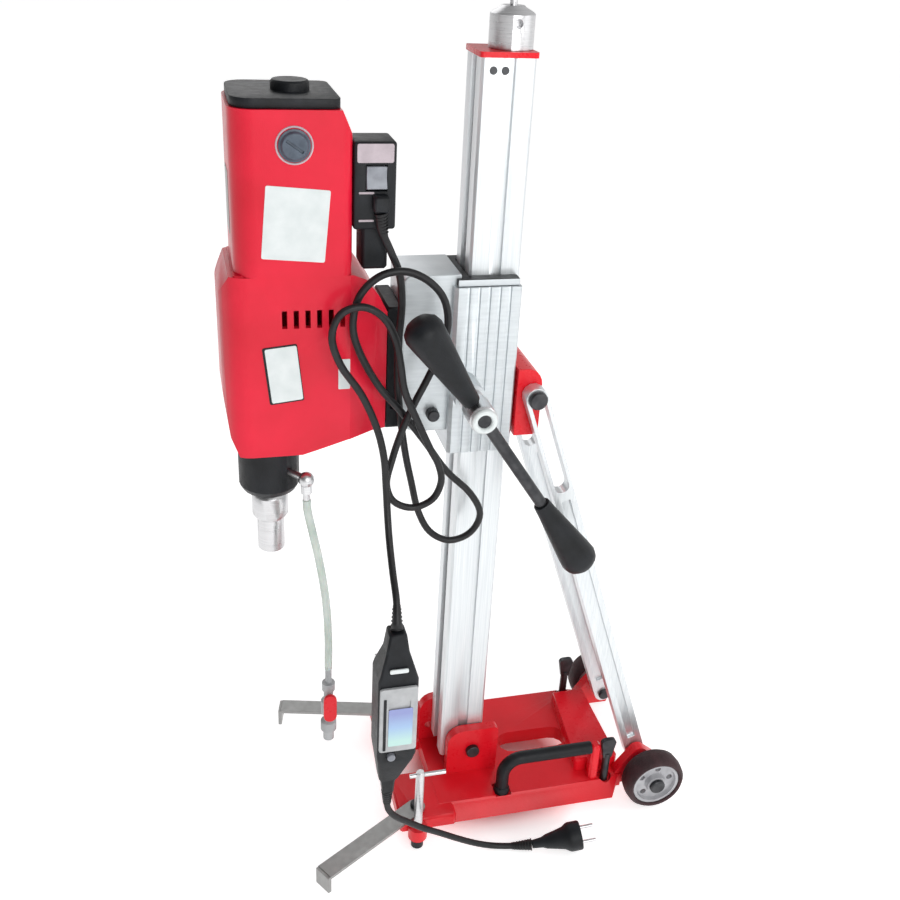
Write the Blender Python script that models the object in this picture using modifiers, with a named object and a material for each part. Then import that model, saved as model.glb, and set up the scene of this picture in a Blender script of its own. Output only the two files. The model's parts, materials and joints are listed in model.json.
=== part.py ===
"""Core drill rig: a wheeled floor stand with a toothed column, a carriage fed by a
bar handle, a wet core drill motor, its water line and its mains lead.

Metres, +Z up. The motor hangs towards -X, the wheels are towards +X, and the feed handle
is on the -Y side. Sizes and places below are heights above the floor. At the end the rig is
lowered, so that the origin is on the casting's underside, below the centre of the column.
"""

import math

import bmesh
import bpy
from mathutils import Matrix, Vector

# ---------------------------------------------------------------- driving sizes

GAP = 0.0003  # between faces that touch
RUNNING = 0.0003  # radial clearance of a shaft in its bore
COLUMN = 0.060  # the column's side

# base casting
BASE_UNDER = 0.018
BASE_TOP = 0.040
BASE_FRONT = -0.047
BASE_REAR = 0.225
BASE_HALF = 0.115
BASE_SLOPE = 0.017  # how far each long side leans in at the top
PRONG_FRONT = -0.105
PRONG_INNER = 0.030
PRONG_OUTER = 0.120
SLOT_FRONT = 0.066
SLOT_REAR = 0.172
SLOT_HALF = 0.020
BEAM_FRONT = 0.165
BEAM_HALF = 0.075
BEAM_TOP = 0.060
CHEEK_INNER = COLUMN / 2 + 0.0015
CHEEK_THICK = 0.0135
CHEEK_TOP = 0.115
CHEEK_REAR = 0.049
CHEEK_FRONTS = {-1: -0.024, 1: -0.047}
POST_CENTRE = 0.181
POST_SIZE = 0.014
POST_TOP = 0.100

# column
COLUMN_BOTTOM = 0.062
COLUMN_TOP = 1.008
GROOVE_WIDE = 0.014
GROOVE_DEEP = 0.004
CHANNEL_WIDE = 0.020
CHANNEL_DEEP = 0.016
BORE_FRONT = -0.008
BORE_REAR = 0.025
BORE_HALF = 0.022
CAP_THICK = 0.0057
CAP_OVER = 0.002
TILT_X = 0.012
TILT_Z = 0.080
TILT_PIN_R = 0.006

# rack and pinion
MODULE = 0.003
PINION_TEETH = 8
PRESSURE_ANGLE = math.radians(20)
TOOTH_SHARE = 0.42  # tooth width over pitch, which leaves the backlash
ADDENDUM = 0.75  # in modules
DEDENDUM = 1.1  # in modules
RACK_WIDE = 0.014
RACK_BOTTOM = 0.118
RACK_TOP = COLUMN_TOP - 0.008
FEED_Z = 0.650
SHAFT_R = 0.005
PINION_X = -(COLUMN / 2 + SHAFT_R + 0.0005)

# jack at the top of the column
JACK_X = 0.009
JACK_R = 0.024
JACK_TALL = 0.042
JACK_SCREW_R = 0.004
JACK_TIP = COLUMN_TOP + 0.077

# braces
BRACE_TOP_X = 0.050
BRACE_TOP_Z = 0.637
BRACE_FOOT_X = 0.2528
BRACE_FOOT_Z = 0.060
BRACE_WIDE = 0.028
BRACE_INNER = 0.055
BRACE_THICK = 0.018
BRACE_BOLT_R = 0.004
BRACE_SLOT_LONG = 0.128
BRACE_SLOT_HALF = 0.0089
BRACE_PIN_R = 0.005

# carriage
CARRIAGE_BOTTOM = 0.562
CARRIAGE_TOP = 0.768
CARRIAGE_HALF = 0.050
CARRIAGE_FRONT = -0.050
CARRIAGE_REAR = 0.028
NOSE_FRONT = -0.106
NOSE_HALF = 0.038
NOSE_TOP = 0.780
NOSE_BOTTOM = 0.592
PAD_THICK = 0.0034
BOSS_R = 0.018
BOSS_END = 0.088
MOUNT_FRONT = -0.1247
MOUNT_HALF = 0.040

# feed handle
BAR_Y = -0.125
BAR_R = 0.007
BAR_DIRECTION = (0.560, -0.828)  # x and z, towards the lower grip
BAR_UP = 0.135
BAR_DOWN = 0.262
GRIP_LONG = 0.114
GRIP_THIN = 0.010
GRIP_FAT = 0.0225
HUB_R = 0.016

# drill motor
SPINDLE_X = -0.256
MOTOR_X = -0.223
MOTOR_FRONT = -0.290
MOTOR_REAR = -0.166
MOTOR_HALF = 0.060
MOTOR_CORNER = 0.025
MOTOR_BOTTOM = 0.790
MOTOR_TOP = 0.960
GEARBOX_HALF = 0.058
GEARBOX_BOTTOM = 0.578
SHELL = 0.005
FLANGE_FRONT = -0.125
COLLAR_R = 0.036
COLLAR_BOTTOM = 0.507
COLLAR_TOP = 0.5775
SPINDLE_R = 0.0175
SPINDLE_BOTTOM = 0.422
ADAPTER_R = 0.022
GEAR_TEETH = 36
MOTOR_PINION_TEETH = 8
GEAR_Z = 0.760
GEAR_WIDE = 0.012

# wheels and feet
WHEEL_X = 0.2636
WHEEL_Z = 0.046
WHEEL_R = 0.044
WHEEL_INNER = 0.098
WHEEL_OUTER = 0.1326
HUB_DISC_R = WHEEL_R - 0.0098
AXLE_R = 0.008
BRACKET_INNER = 0.078
BRACKET_OUTER = 0.092
FOOT_X = -0.083
FOOT_Y = 0.127
FOOT_BOSS_R = 0.013
FOOT_SCREW_R = 0.006
FOOT_PAD_R = 0.0085
FOOT_SCREW_TOP = 0.131
REAR_FOOT_X = 0.199
REAR_FOOT_Y = 0.091
REAR_SCREW_R = 0.0055

# ring guide strips
STRIP_X = -0.080
STRIP_Y = 0.100
STRIP_LONG = 0.162
STRIP_HALF = 0.0125
STRIP_THICK = 0.005
STRIP_DROP = 0.027
STRIP_ANGLES = {-1: math.radians(31.7), 1: math.radians(13.3)}

# lead and inline breaker
CORD_R = 0.0042
BREAKER_X = -0.131
BREAKER_NEAR = -0.193
BREAKER_FAR = -0.151
BREAKER_HALF = 0.024
BREAKER_LOW = 0.232
BREAKER_HIGH = 0.345
BREAKER_OUT = (-0.137, -0.172, 0.157)
HOSE_R = 0.005
VALVE = (-0.193, -0.053)
ROCKER_TILT = math.radians(8)

SIDES = {-1: "left", 1: "right"}

POWER_ROUTE = (
    (-0.1380, -0.0620, 0.8570),
    (-0.1360, -0.0620, 0.8380),
    (-0.1260, -0.0610, 0.8150),
    (-0.1160, -0.0600, 0.7900),
    (-0.1120, -0.0580, 0.7550),
    (-0.1140, -0.0570, 0.7120),
    (-0.1140, -0.0570, 0.6640),
    (-0.1090, -0.0570, 0.6140),
    (-0.1020, -0.0570, 0.5690),
    (-0.0940, -0.0570, 0.5320),
    (-0.0840, -0.0570, 0.4900),
    (-0.0680, -0.0575, 0.4590),
    (-0.0430, -0.0590, 0.4450),
    (-0.0175, -0.0610, 0.4550),
    (-0.0075, -0.0640, 0.4830),
    (-0.0230, -0.0660, 0.5150),
    (-0.0540, -0.0665, 0.5480),
    (-0.0810, -0.0670, 0.5880),
    (-0.1090, -0.0670, 0.6270),
    (-0.1380, -0.0680, 0.6640),
    (-0.1600, -0.0700, 0.7060),
    (-0.1680, -0.0720, 0.7380),
    (-0.1620, -0.0740, 0.7710),
    (-0.1420, -0.0760, 0.7930),
    (-0.1160, -0.0770, 0.7990),
    (-0.0900, -0.0770, 0.7890),
    (-0.0700, -0.0770, 0.7670),
    (-0.0640, -0.0770, 0.7360),
    (-0.0720, -0.0770, 0.7030),
    (-0.0850, -0.0770, 0.6720),
    (-0.1000, -0.0770, 0.6400),
    (-0.1130, -0.0770, 0.6060),
    (-0.1220, -0.0770, 0.5740),
    (-0.1280, -0.0780, 0.5430),
    (-0.1190, -0.0788, 0.5190),
    (-0.0960, -0.0796, 0.5090),
    (-0.0730, -0.0808, 0.5190),
    (-0.0640, -0.0830, 0.5430),
    (-0.0690, -0.0860, 0.5680),
    (-0.0810, -0.0880, 0.5920),
    (-0.0980, -0.0880, 0.6300),
    (-0.1120, -0.0880, 0.6640),
    (-0.1180, -0.0880, 0.6980),
    (-0.1240, -0.0876, 0.7260),
    (-0.1370, -0.0870, 0.7510),
    (-0.1590, -0.0860, 0.7640),
    (-0.1830, -0.0852, 0.7570),
    (-0.1925, -0.0842, 0.7310),
    (-0.1830, -0.0840, 0.6980),
    (-0.1600, -0.0850, 0.6620),
    (-0.1430, -0.0870, 0.6220),
    (-0.1340, -0.0880, 0.5840),
    (-0.1310, -0.0900, 0.5460),
    (-0.1300, -0.0960, 0.5160),
    (-0.1300, -0.1120, 0.4860),
    (-0.1300, -0.1360, 0.4580),
    (-0.1300, -0.1600, 0.4360),
    (-0.1310, -0.1705, 0.4160),
    (-0.1310, -0.1720, 0.4055),
)

SUPPLY_ROUTE = (
    (-0.137, -0.172, 0.1574),
    (-0.137, -0.172, 0.1400),
    (-0.134, -0.171, 0.1220),
    (-0.124, -0.170, 0.1060),
    (-0.107, -0.167, 0.0900),
    (-0.085, -0.164, 0.0710),
    (-0.061, -0.159, 0.0520),
    (-0.035, -0.156, 0.0330),
    (-0.008, -0.154, 0.0160),
    (0.018, -0.154, 0.0055),
    (0.045, -0.1600, 0.0056),
    (0.0678, -0.16586, 0.00958),
)

HOSE_ROUTE = (
    (-0.2175, -0.0500, 0.5140),
    (-0.2165, -0.0505, 0.4980),
    (-0.2110, -0.0515, 0.4680),
    (-0.2030, -0.0525, 0.4240),
    (-0.1960, -0.0530, 0.3700),
    (-0.1930, -0.0530, 0.3150),
    (-0.1930, -0.0530, 0.2620),
)

PLUG_START = (0.0690, -0.1660, 0.0098)
PLUG_HEADING = Vector((0.977, -0.116, 0.180)).normalized()

# ---------------------------------------------------------------- workshop

for old in list(bpy.data.objects):
    bpy.data.objects.remove(old)

PARTS = bpy.data.collections.new("core_drill_rig")
CUTTERS = bpy.data.collections.new("cutters")
CUTTERS.hide_render = True
bpy.context.scene.collection.children.link(PARTS)
bpy.context.scene.collection.children.link(CUTTERS)

FINISHES = {
    "red_paint": ((0.78, 0.03, 0.05), 0.35, 0.0),
    "pale_alloy": ((0.72, 0.75, 0.78), 0.4, 0.6),
    "dark_plastic": ((0.02, 0.022, 0.028), 0.5, 0.0),
    "grey_plastic": ((0.35, 0.36, 0.38), 0.5, 0.0),
    "steel": ((0.55, 0.55, 0.56), 0.3, 1.0),
    "dark_steel": ((0.12, 0.12, 0.13), 0.4, 0.8),
    "rubber": ((0.05, 0.02, 0.025), 0.8, 0.0),
    "clear_hose": ((0.62, 0.7, 0.66), 0.2, 0.0),
}


def finish(name):
    """The material of that name, made the first time that it is asked for."""
    found = bpy.data.materials.get(name)
    if found:
        return found
    colour, roughness, metallic = FINISHES[name]
    made = bpy.data.materials.new(name)
    made.use_nodes = True
    shader = made.node_tree.nodes["Principled BSDF"]
    shader.inputs["Base Color"].default_value = (*colour, 1)
    shader.inputs["Roughness"].default_value = roughness
    shader.inputs["Metallic"].default_value = metallic
    made.diffuse_color = (*colour, 1)
    return made


def piece(name, mesh, look=None, place=(0, 0, 0)):
    """A named piece in the rig's collection, or a cutter when it has no finish."""
    made = bpy.data.objects.new(name, mesh)
    made.location = place
    if look:
        PARTS.objects.link(made)
        mesh.materials.append(finish(look))
    else:
        CUTTERS.objects.link(made)
        made.hide_render = True
        made.display_type = "WIRE"
    return made


def mesh_of(build, name):
    """A mesh that the function build fills in through bmesh."""
    work = bmesh.new()
    build(work)
    mesh = bpy.data.meshes.new(name)
    work.to_mesh(mesh)
    work.free()
    return mesh


def box(name, low, high, look=None):
    low, high = Vector(low), Vector(high)
    size = Matrix.Diagonal((*(high - low), 1))
    mesh = mesh_of(lambda work: bmesh.ops.create_cube(work, size=1, matrix=size), name)
    return piece(name, mesh, look, (low + high) / 2)


def turn_to(axis):
    """The rotation that takes +Z to the axis."""
    return Vector((0, 0, 1)).rotation_difference(Vector(axis)).to_matrix().to_4x4()


def cone(name, start, end, r_start, r_end, look=None, sides=20):
    """A round bar or cone from start to end, with its origin at start."""
    start, end = Vector(start), Vector(end)
    along = end - start
    place = turn_to(along) @ Matrix.Translation((0, 0, along.length / 2))

    def build(work):
        bmesh.ops.create_cone(
            work,
            cap_ends=True,
            segments=sides,
            radius1=r_start,
            radius2=r_end,
            depth=along.length,
            matrix=place,
        )

    made = piece(name, mesh_of(build, name), look, start)
    smooth(made)
    return made


def rod(name, start, end, radius, look=None, sides=20):
    return cone(name, start, end, radius, radius, look, sides)


def smooth(made):
    made.data.shade_smooth()
    made.data.set_sharp_from_angle(angle=math.radians(35))


def turned(name, profile, place, look=None, axis=(0, 0, 1), steps=20):
    """A profile of (radius, height) pairs, top first, swept round the axis."""
    mesh = bpy.data.meshes.new(name)
    points = [(radius, 0, height) for radius, height in profile]
    edges = [(i, i + 1) for i in range(len(points) - 1)]
    if profile[0][0] > 0:
        edges.append((len(points) - 1, 0))
    mesh.from_pydata(points, edges, [])
    made = piece(name, mesh, look, place)
    made.rotation_euler = turn_to(axis).to_euler()
    screw = made.modifiers.new("sweep", "SCREW")
    screw.steps = steps
    screw.render_steps = steps
    screw.use_merge_vertices = True
    screw.merge_threshold = 0.00001
    screw.use_smooth_shade = True
    return made


def arc(centre, radius, start, end, steps=6):
    """Points of an arc in degrees, both ends included."""
    angles = [math.radians(start + (end - start) * i / steps) for i in range(steps + 1)]
    return [(centre[0] + radius * math.cos(a), centre[1] + radius * math.sin(a)) for a in angles]


def capsule(start, end, radius, steps=6):
    """The outline of a bar with round ends."""
    heading = math.degrees(math.atan2(end[1] - start[1], end[0] - start[0]))
    first = arc(start, radius, heading + 90, heading + 270, steps)
    return first + arc(end, radius, heading - 90, heading + 90, steps)


def circle(centre, radius, steps=16):
    return arc(centre, radius, 0, 360, steps)[:-1]


def round_box(low, high, radii, steps=5):
    """A rectangle with a radius for each corner: rear far, front far, front near, rear near."""
    (x0, y0), (x1, y1) = low, high
    a, b, c, d = radii
    points = arc((x1 - a, y1 - a), a, 0, 90, steps) + arc((x0 + b, y1 - b), b, 90, 180, steps)
    points += arc((x0 + c, y0 + c), c, 180, 270, steps)
    return points + arc((x1 - d, y0 + d), d, 270, 360, steps)


def slab(name, outlines, low, high, look=None, upright=False):
    """Flat outlines, the first outside and the rest holes, given thickness from low to high.

    Outlines are in XY with thickness along Z or, upright, in XZ with thickness along Y."""
    curve = bpy.data.curves.new(name, "CURVE")
    curve.dimensions = "2D"
    curve.fill_mode = "BOTH"
    curve.extrude = (high - low) / 2
    for outline in outlines:
        spline = curve.splines.new("POLY")
        spline.points.add(len(outline) - 1)
        for point, (u, v) in zip(spline.points, outline):
            point.co = (u, v, 0, 1)
        spline.use_cyclic_u = True
    flat = bpy.data.objects.new(name, curve)
    CUTTERS.objects.link(flat)
    middle = (high + low) / 2
    if upright:
        flat.matrix_world = Matrix.Translation((0, middle, 0)) @ Matrix.Rotation(math.pi / 2, 4, "X")
    else:
        flat.matrix_world = Matrix.Translation((0, 0, middle))
    made = as_mesh(flat, look)
    return made


def as_mesh(curve_object, look=None):
    """The curve's solid as a mesh, its caps welded, in the curve's place."""
    bpy.context.view_layer.update()
    name = curve_object.name
    graph = bpy.context.evaluated_depsgraph_get()
    mesh = bpy.data.meshes.new_from_object(curve_object.evaluated_get(graph))
    work = bmesh.new()
    work.from_mesh(mesh)
    bmesh.ops.remove_doubles(work, verts=work.verts, dist=0.000005)
    bmesh.ops.recalc_face_normals(work, faces=work.faces)
    work.to_mesh(mesh)
    work.free()
    place = curve_object.matrix_world.copy()
    bpy.data.objects.remove(curve_object)
    mesh.materials.clear()
    made = piece(name, mesh, look)
    made.matrix_world = place
    smooth(made)
    return made


def smooth_path(route, spacing):
    """Evenly spaced points of a Catmull-Rom curve through the route's points."""
    knots = [Vector(point) for point in route]
    ends = [2 * knots[0] - knots[1], *knots, 2 * knots[-1] - knots[-2]]
    fine = []
    for before, start, end, after in zip(ends, ends[1:], ends[2:], ends[3:]):
        for step in range(12):
            t = step / 12
            fine.append(
                0.5
                * (
                    2 * start
                    + (end - before) * t
                    + (2 * before - 5 * start + 4 * end - after) * t**2
                    + (3 * start - before - 3 * end + after) * t**3
                )
            )
    fine.append(knots[-1])
    lengths = [0.0]
    for one, two in zip(fine, fine[1:]):
        lengths.append(lengths[-1] + (two - one).length)
    count = max(2, round(lengths[-1] / spacing))
    points = []
    place = 0
    for number in range(count + 1):
        wanted = lengths[-1] * number / count
        while place < len(fine) - 2 and lengths[place + 1] < wanted:
            place += 1
        share = (wanted - lengths[place]) / (lengths[place + 1] - lengths[place])
        points.append(fine[place].lerp(fine[place + 1], min(1, share)))
    return points


def tube(name, points, radius, look, resolution=2):
    """A round tube along the points, with closed ends."""
    curve = bpy.data.curves.new(name, "CURVE")
    curve.dimensions = "3D"
    curve.bevel_depth = radius
    curve.bevel_resolution = resolution
    curve.use_fill_caps = True
    spline = curve.splines.new("POLY")
    spline.points.add(len(points) - 1)
    for point, place in zip(spline.points, points):
        point.co = (*place, 1)
    curve.materials.append(finish(look))
    made = bpy.data.objects.new(name, curve)
    PARTS.objects.link(made)
    return made


def boolean(made, other, operation):
    step = made.modifiers.new(other.name, "BOOLEAN")
    step.operation = operation
    step.solver = "EXACT"
    step.object = other


def cut(made, *others):
    for other in others:
        boolean(made, other, "DIFFERENCE")


def join(made, *others):
    for other in others:
        boolean(made, other, "UNION")


def bevel(made, width, segments=1, angle=40):
    step = made.modifiers.new("edges", "BEVEL")
    step.width = width
    step.segments = segments
    step.limit_method = "ANGLE"
    step.angle_limit = math.radians(angle)
    step.use_clamp_overlap = True


# ---------------------------------------------------------------- base casting


def sloped_deck():
    """The deck plate, whose long sides lean in towards the top."""
    corner = WHEEL_X - WHEEL_R - 0.004
    inner = WHEEL_INNER - 0.004
    near = [
        (BASE_FRONT, -BASE_HALF), (corner - 0.010, -BASE_HALF), (corner + 0.004, -inner),
        (BASE_REAR, -inner),
    ]
    outline = near + [(x, -y) for x, y in reversed(near)]
    hole = capsule((SLOT_FRONT + SLOT_HALF, 0), (SLOT_REAR - SLOT_HALF, 0), SLOT_HALF)
    deck = slab("base_casting", [outline, hole], BASE_UNDER, BASE_TOP, "red_paint")
    for vertex in deck.data.vertices:
        if vertex.co.z > 0:
            vertex.co.y = math.copysign(min(abs(vertex.co.y), BASE_HALF - BASE_SLOPE), vertex.co.y)
    return deck


def base_casting():
    base = sloped_deck()
    for side, name in SIDES.items():
        prong = box(
            f"prong_{name}",
            (PRONG_FRONT, min(side * PRONG_INNER, side * PRONG_OUTER), BASE_UNDER + GAP),
            (BASE_FRONT + 0.020, max(side * PRONG_INNER, side * PRONG_OUTER), BASE_TOP - GAP),
        )
        bevel(prong, 0.003)
        boss = rod(
            f"foot_boss_{name}",
            (FOOT_X, side * FOOT_Y, BASE_UNDER),
            (FOOT_X, side * FOOT_Y, BASE_TOP - 0.004),
            FOOT_BOSS_R,
        )
        inner = side * CHEEK_INNER
        outer = side * (CHEEK_INNER + CHEEK_THICK)
        front = CHEEK_FRONTS[side]
        top = CHEEK_TOP
        outline = [(CHEEK_REAR, BASE_TOP - 0.003), (CHEEK_REAR, top - 0.006)]
        outline += arc((CHEEK_REAR - 0.006, top - 0.006), 0.006, 0, 90, 3)
        outline += arc((front + 0.022, top - 0.022), 0.022, 90, 180, 5)
        outline += [(front, BASE_TOP - 0.003)]
        cheek = slab(f"cheek_{name}", [outline], min(inner, outer), max(inner, outer), upright=True)
        ear_top = WHEEL_Z + 0.036
        ear = [(0.210, BASE_UNDER + 0.004), (0.270, BASE_UNDER + 0.004)]
        ear += arc((0.262, WHEEL_Z + 0.006), 0.018, -20, 60, 4)
        ear += arc((BRACE_FOOT_X - 0.004, ear_top - 0.014), 0.014, 60, 120, 4) + [(0.216, BASE_TOP + 0.004)]
        bracket = slab(
            f"wheel_bracket_{name}",
            [ear],
            min(side * BRACKET_INNER, side * BRACKET_OUTER),
            max(side * BRACKET_INNER, side * BRACKET_OUTER),
            upright=True,
        )
        join(base, prong, boss, cheek, bracket)
    beam = slab(
        "rear_beam",
        [
            [
                (BEAM_FRONT - 0.006, -BEAM_HALF),
                (BASE_REAR - 0.001, -BEAM_HALF),
                (BASE_REAR - 0.001, BEAM_HALF),
                (BEAM_FRONT + 0.010, BEAM_HALF),
            ]
        ],
        BASE_TOP - 0.003,
        BEAM_TOP,
    )
    bevel(beam, 0.003)
    post = box(
        "handle_post",
        (POST_CENTRE - POST_SIZE / 2, -0.095, BASE_TOP - 0.003),
        (POST_CENTRE + POST_SIZE / 2, -0.080, POST_TOP),
    )
    bevel(post, 0.003)
    join(base, beam, post)
    for side, name in SIDES.items():
        y = side * FOOT_Y
        rear = side * REAR_FOOT_Y
        strip = side * STRIP_Y
        cut(
            base,
            rod(f"foot_bore_{name}", (FOOT_X, y, 0), (FOOT_X, y, 0.06), FOOT_SCREW_R + RUNNING),
            rod(
                f"rear_foot_bore_{name}",
                (REAR_FOOT_X, rear, 0),
                (REAR_FOOT_X, rear, 0.06),
                REAR_SCREW_R + RUNNING,
                sides=24,
            ),
            rod(
                f"rear_foot_recess_{name}",
                (REAR_FOOT_X, rear, BASE_TOP - 0.006),
                (REAR_FOOT_X, rear, BASE_TOP + 0.006),
                0.0105,
                sides=24,
            ),
            rod(f"strip_bore_{name}", (STRIP_X, strip, 0.0265), (STRIP_X, strip, 0.06), 0.0043, sides=16),
            rod(
                f"axle_bore_{name}",
                (WHEEL_X, side * 0.070, WHEEL_Z),
                (WHEEL_X, side * 0.100, WHEEL_Z),
                AXLE_R + RUNNING,
                sides=24,
            ),
            rod(
                f"brace_pin_bore_{name}",
                (BRACE_FOOT_X, side * 0.070, BRACE_FOOT_Z),
                (BRACE_FOOT_X, side * 0.100, BRACE_FOOT_Z),
                BRACE_PIN_R + RUNNING,
                sides=20,
            ),
        )
    cut(
        base,
        rod("tilt_bore", (TILT_X, -0.06, TILT_Z), (TILT_X, 0.06, TILT_Z), TILT_PIN_R + RUNNING, sides=16),
        rod("cheek_hole", (-0.033, 0.02, 0.066), (-0.033, 0.06, 0.066), 0.006, sides=20),
        box("carry_socket", (0.0345, -0.0995, 0.0365), (0.0575, -0.0765, 0.0500)),
    )


def carry_handle():
    start = Vector((0.046, -0.088, BASE_TOP + 0.0008))
    high = 0.094
    turn = 0.026
    points = [start, start + Vector((0, 0, 0.015))]
    for x, z in arc((start.x + turn, high - turn), turn, 180, 90, 7):
        points.append(Vector((x, start.y, z)))
    points.append(Vector((0.120, start.y, high)))
    points.append(Vector((POST_CENTRE - POST_SIZE / 2 - GAP, start.y, high)))
    bar = tube("carry_handle", points, 0.0092, "dark_plastic", 3)
    handle = as_mesh(bar, "dark_plastic")
    foot = turned(
        "carry_foot",
        [(0, 0.010), (0.0098, 0.010), (0.0112, 0.006), (0.0112, 0.0), (0, 0.0)],
        (start.x, start.y, 0.0368),
        steps=24,
    )
    join(handle, foot)


def tilt_pin():
    reach = CHEEK_INNER + CHEEK_THICK + GAP
    profile = [(0, reach + 0.007), (0.0085, reach + 0.007), (0.0095, reach + 0.006), (0.0095, reach)]
    profile += [(TILT_PIN_R, reach), (TILT_PIN_R, -reach), (0.0095, -reach)]
    profile += [(0.0095, -reach - 0.006), (0.0085, -reach - 0.007), (0, -reach - 0.007)]
    turned("column_pivot_pin", profile, (TILT_X, 0, TILT_Z), "dark_steel", (0, 1, 0), 16)


def brace_pin(side):
    outer = BRACKET_OUTER + 0.0005
    head = BRACE_INNER - GAP
    profile = [(0, outer), (BRACE_PIN_R, outer), (BRACE_PIN_R, head), (0.0085, head)]
    profile += [(0.0085, head - 0.004), (0.0075, head - 0.005), (0, head - 0.005)]
    turned(
        f"brace_pin_{SIDES[side]}", profile, (BRACE_FOOT_X, 0, BRACE_FOOT_Z), "dark_steel", (0, side, 0), 14
    )


def wheel(side):
    name = SIDES[side]
    centre = (WHEEL_X, 0, WHEEL_Z)
    axis = (0, side, 0)
    inner = BRACKET_INNER - GAP
    cap = WHEEL_OUTER - 0.002
    profile = [(0, cap + 0.006), (0.009, cap + 0.006), (0.011, cap + 0.0045), (0.011, cap), (AXLE_R, cap)]
    profile += [(AXLE_R, inner), (0.0115, inner), (0.0115, inner - 0.003), (0, inner - 0.003)]
    turned(f"wheel_axle_{name}", profile, centre, "dark_steel", axis, 16)
    low, high = WHEEL_INNER, WHEEL_OUTER
    rim = HUB_DISC_R
    bore = AXLE_R + RUNNING
    profile = [
        (rim, high - 0.004), (rim, low + 0.004), (rim - 0.004, low + 0.004), (rim - 0.005, low + 0.012),
    ]
    profile += [(0.0150, low + 0.012), (0.0135, low + 0.002), (bore, low + 0.002), (bore, cap - GAP)]
    profile += [
        (0.0135, cap - GAP), (0.0150, high - 0.010), (rim - 0.005, high - 0.010),
        (rim - 0.004, high - 0.004),
    ]
    hub = turned(f"wheel_hub_{name}", list(reversed(profile)), centre, "grey_plastic", axis, 24)
    for number in range(5):
        angle = math.radians(72 * number + 11)
        x = WHEEL_X + 0.0225 * math.cos(angle)
        z = WHEEL_Z + 0.0225 * math.sin(angle)
        cut(
            hub,
            rod(f"hub_hole_{name}_{number}", (x, side * 0.090, z), (x, side * 0.140, z), 0.0046, sides=10),
        )
    seat = rim + GAP
    profile = [(seat, high - 0.002), (WHEEL_R - 0.006, high - 0.0005), (WHEEL_R - 0.0015, high - 0.006)]
    profile += [(WHEEL_R, (low + high) / 2), (WHEEL_R - 0.0015, low + 0.006), (WHEEL_R - 0.006, low + 0.0005)]
    profile += [(seat, low + 0.002)]
    turned(f"tyre_{name}", profile, centre, "rubber", axis, 32)


def front_screw(side):
    y = side * FOOT_Y
    pad_top = BASE_UNDER - GAP
    profile = [(0, FOOT_SCREW_TOP + 0.003), (0.0045, FOOT_SCREW_TOP + 0.003), (0.006, FOOT_SCREW_TOP)]
    profile += [(FOOT_SCREW_R, pad_top), (FOOT_PAD_R, pad_top), (FOOT_PAD_R, 0.002), (0.0065, 0), (0, 0)]
    screw = turned(f"levelling_screw_front_{SIDES[side]}", profile, (FOOT_X, y, 0), "dark_steel", steps=16)
    bar = rod(
        f"screw_bar_{SIDES[side]}",
        (FOOT_X - 0.014, y, FOOT_SCREW_TOP - 0.003),
        (FOOT_X + 0.034, y, FOOT_SCREW_TOP - 0.003),
        0.003,
        sides=16,
    )
    join(screw, bar)


def rear_screw(side):
    y = side * REAR_FOOT_Y
    pad_top = BASE_UNDER - GAP
    profile = [(0, 0.083), (REAR_SCREW_R, 0.083), (REAR_SCREW_R, pad_top), (FOOT_PAD_R, pad_top)]
    profile += [(FOOT_PAD_R, 0.002), (0.0065, 0), (0, 0)]
    screw = turned(
        f"levelling_screw_rear_{SIDES[side]}", profile, (REAR_FOOT_X, y, 0), "dark_steel", steps=16
    )
    x = REAR_FOOT_X
    corner = 0.006
    reach = REAR_FOOT_X - (POST_CENTRE + POST_SIZE / 2) - GAP  # it passes the handle's post as it sinks
    outline = [(x - 0.006, 0.076), (x + 0.006, 0.076)]
    outline += arc((x + reach - corner, 0.102), corner, 0, 90, 4)
    outline += arc((x - reach + corner, 0.102), corner, 90, 180, 4)
    paddle = slab(f"paddle_{SIDES[side]}", [outline], y - 0.0035, y + 0.0035, upright=True)
    join(screw, paddle)


def guide_strip(side):
    """A flat arm that swings on its bolt and turns down at its tip."""
    name = SIDES[side]
    low = BASE_TOP + GAP
    high = low + STRIP_THICK
    outer = arc((0, 0), STRIP_HALF, -90, 90, 8)
    outer += [(-STRIP_LONG, STRIP_HALF), (-STRIP_LONG, -STRIP_HALF)]
    strip = slab(f"guide_strip_{name}", [outer, circle((0, 0), 0.0043, 16)], low, high, "steel")
    tip = box(
        f"strip_tip_{name}",
        (-STRIP_LONG - 0.0035, -STRIP_HALF, high - STRIP_DROP),
        (-STRIP_LONG + 0.0015, STRIP_HALF, high - 0.001),
    )
    turn = Matrix.Rotation(side * -STRIP_ANGLES[side], 4, "Z")
    place = Matrix.Translation((STRIP_X, side * STRIP_Y, 0)) @ turn
    bpy.context.view_layer.update()
    for made in (strip, tip):
        made.matrix_world = place @ made.matrix_world
    join(strip, tip)
    head = high + GAP
    profile = [(0, head + 0.006), (0.0065, head + 0.006), (0.008, head + 0.0045), (0.008, head)]
    profile += [(0.004, head), (0.004, 0.0268), (0, 0.0268)]
    turned(f"strip_bolt_{name}", profile, (STRIP_X, side * STRIP_Y, 0), "dark_steel", steps=14)


# ---------------------------------------------------------------- column


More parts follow.
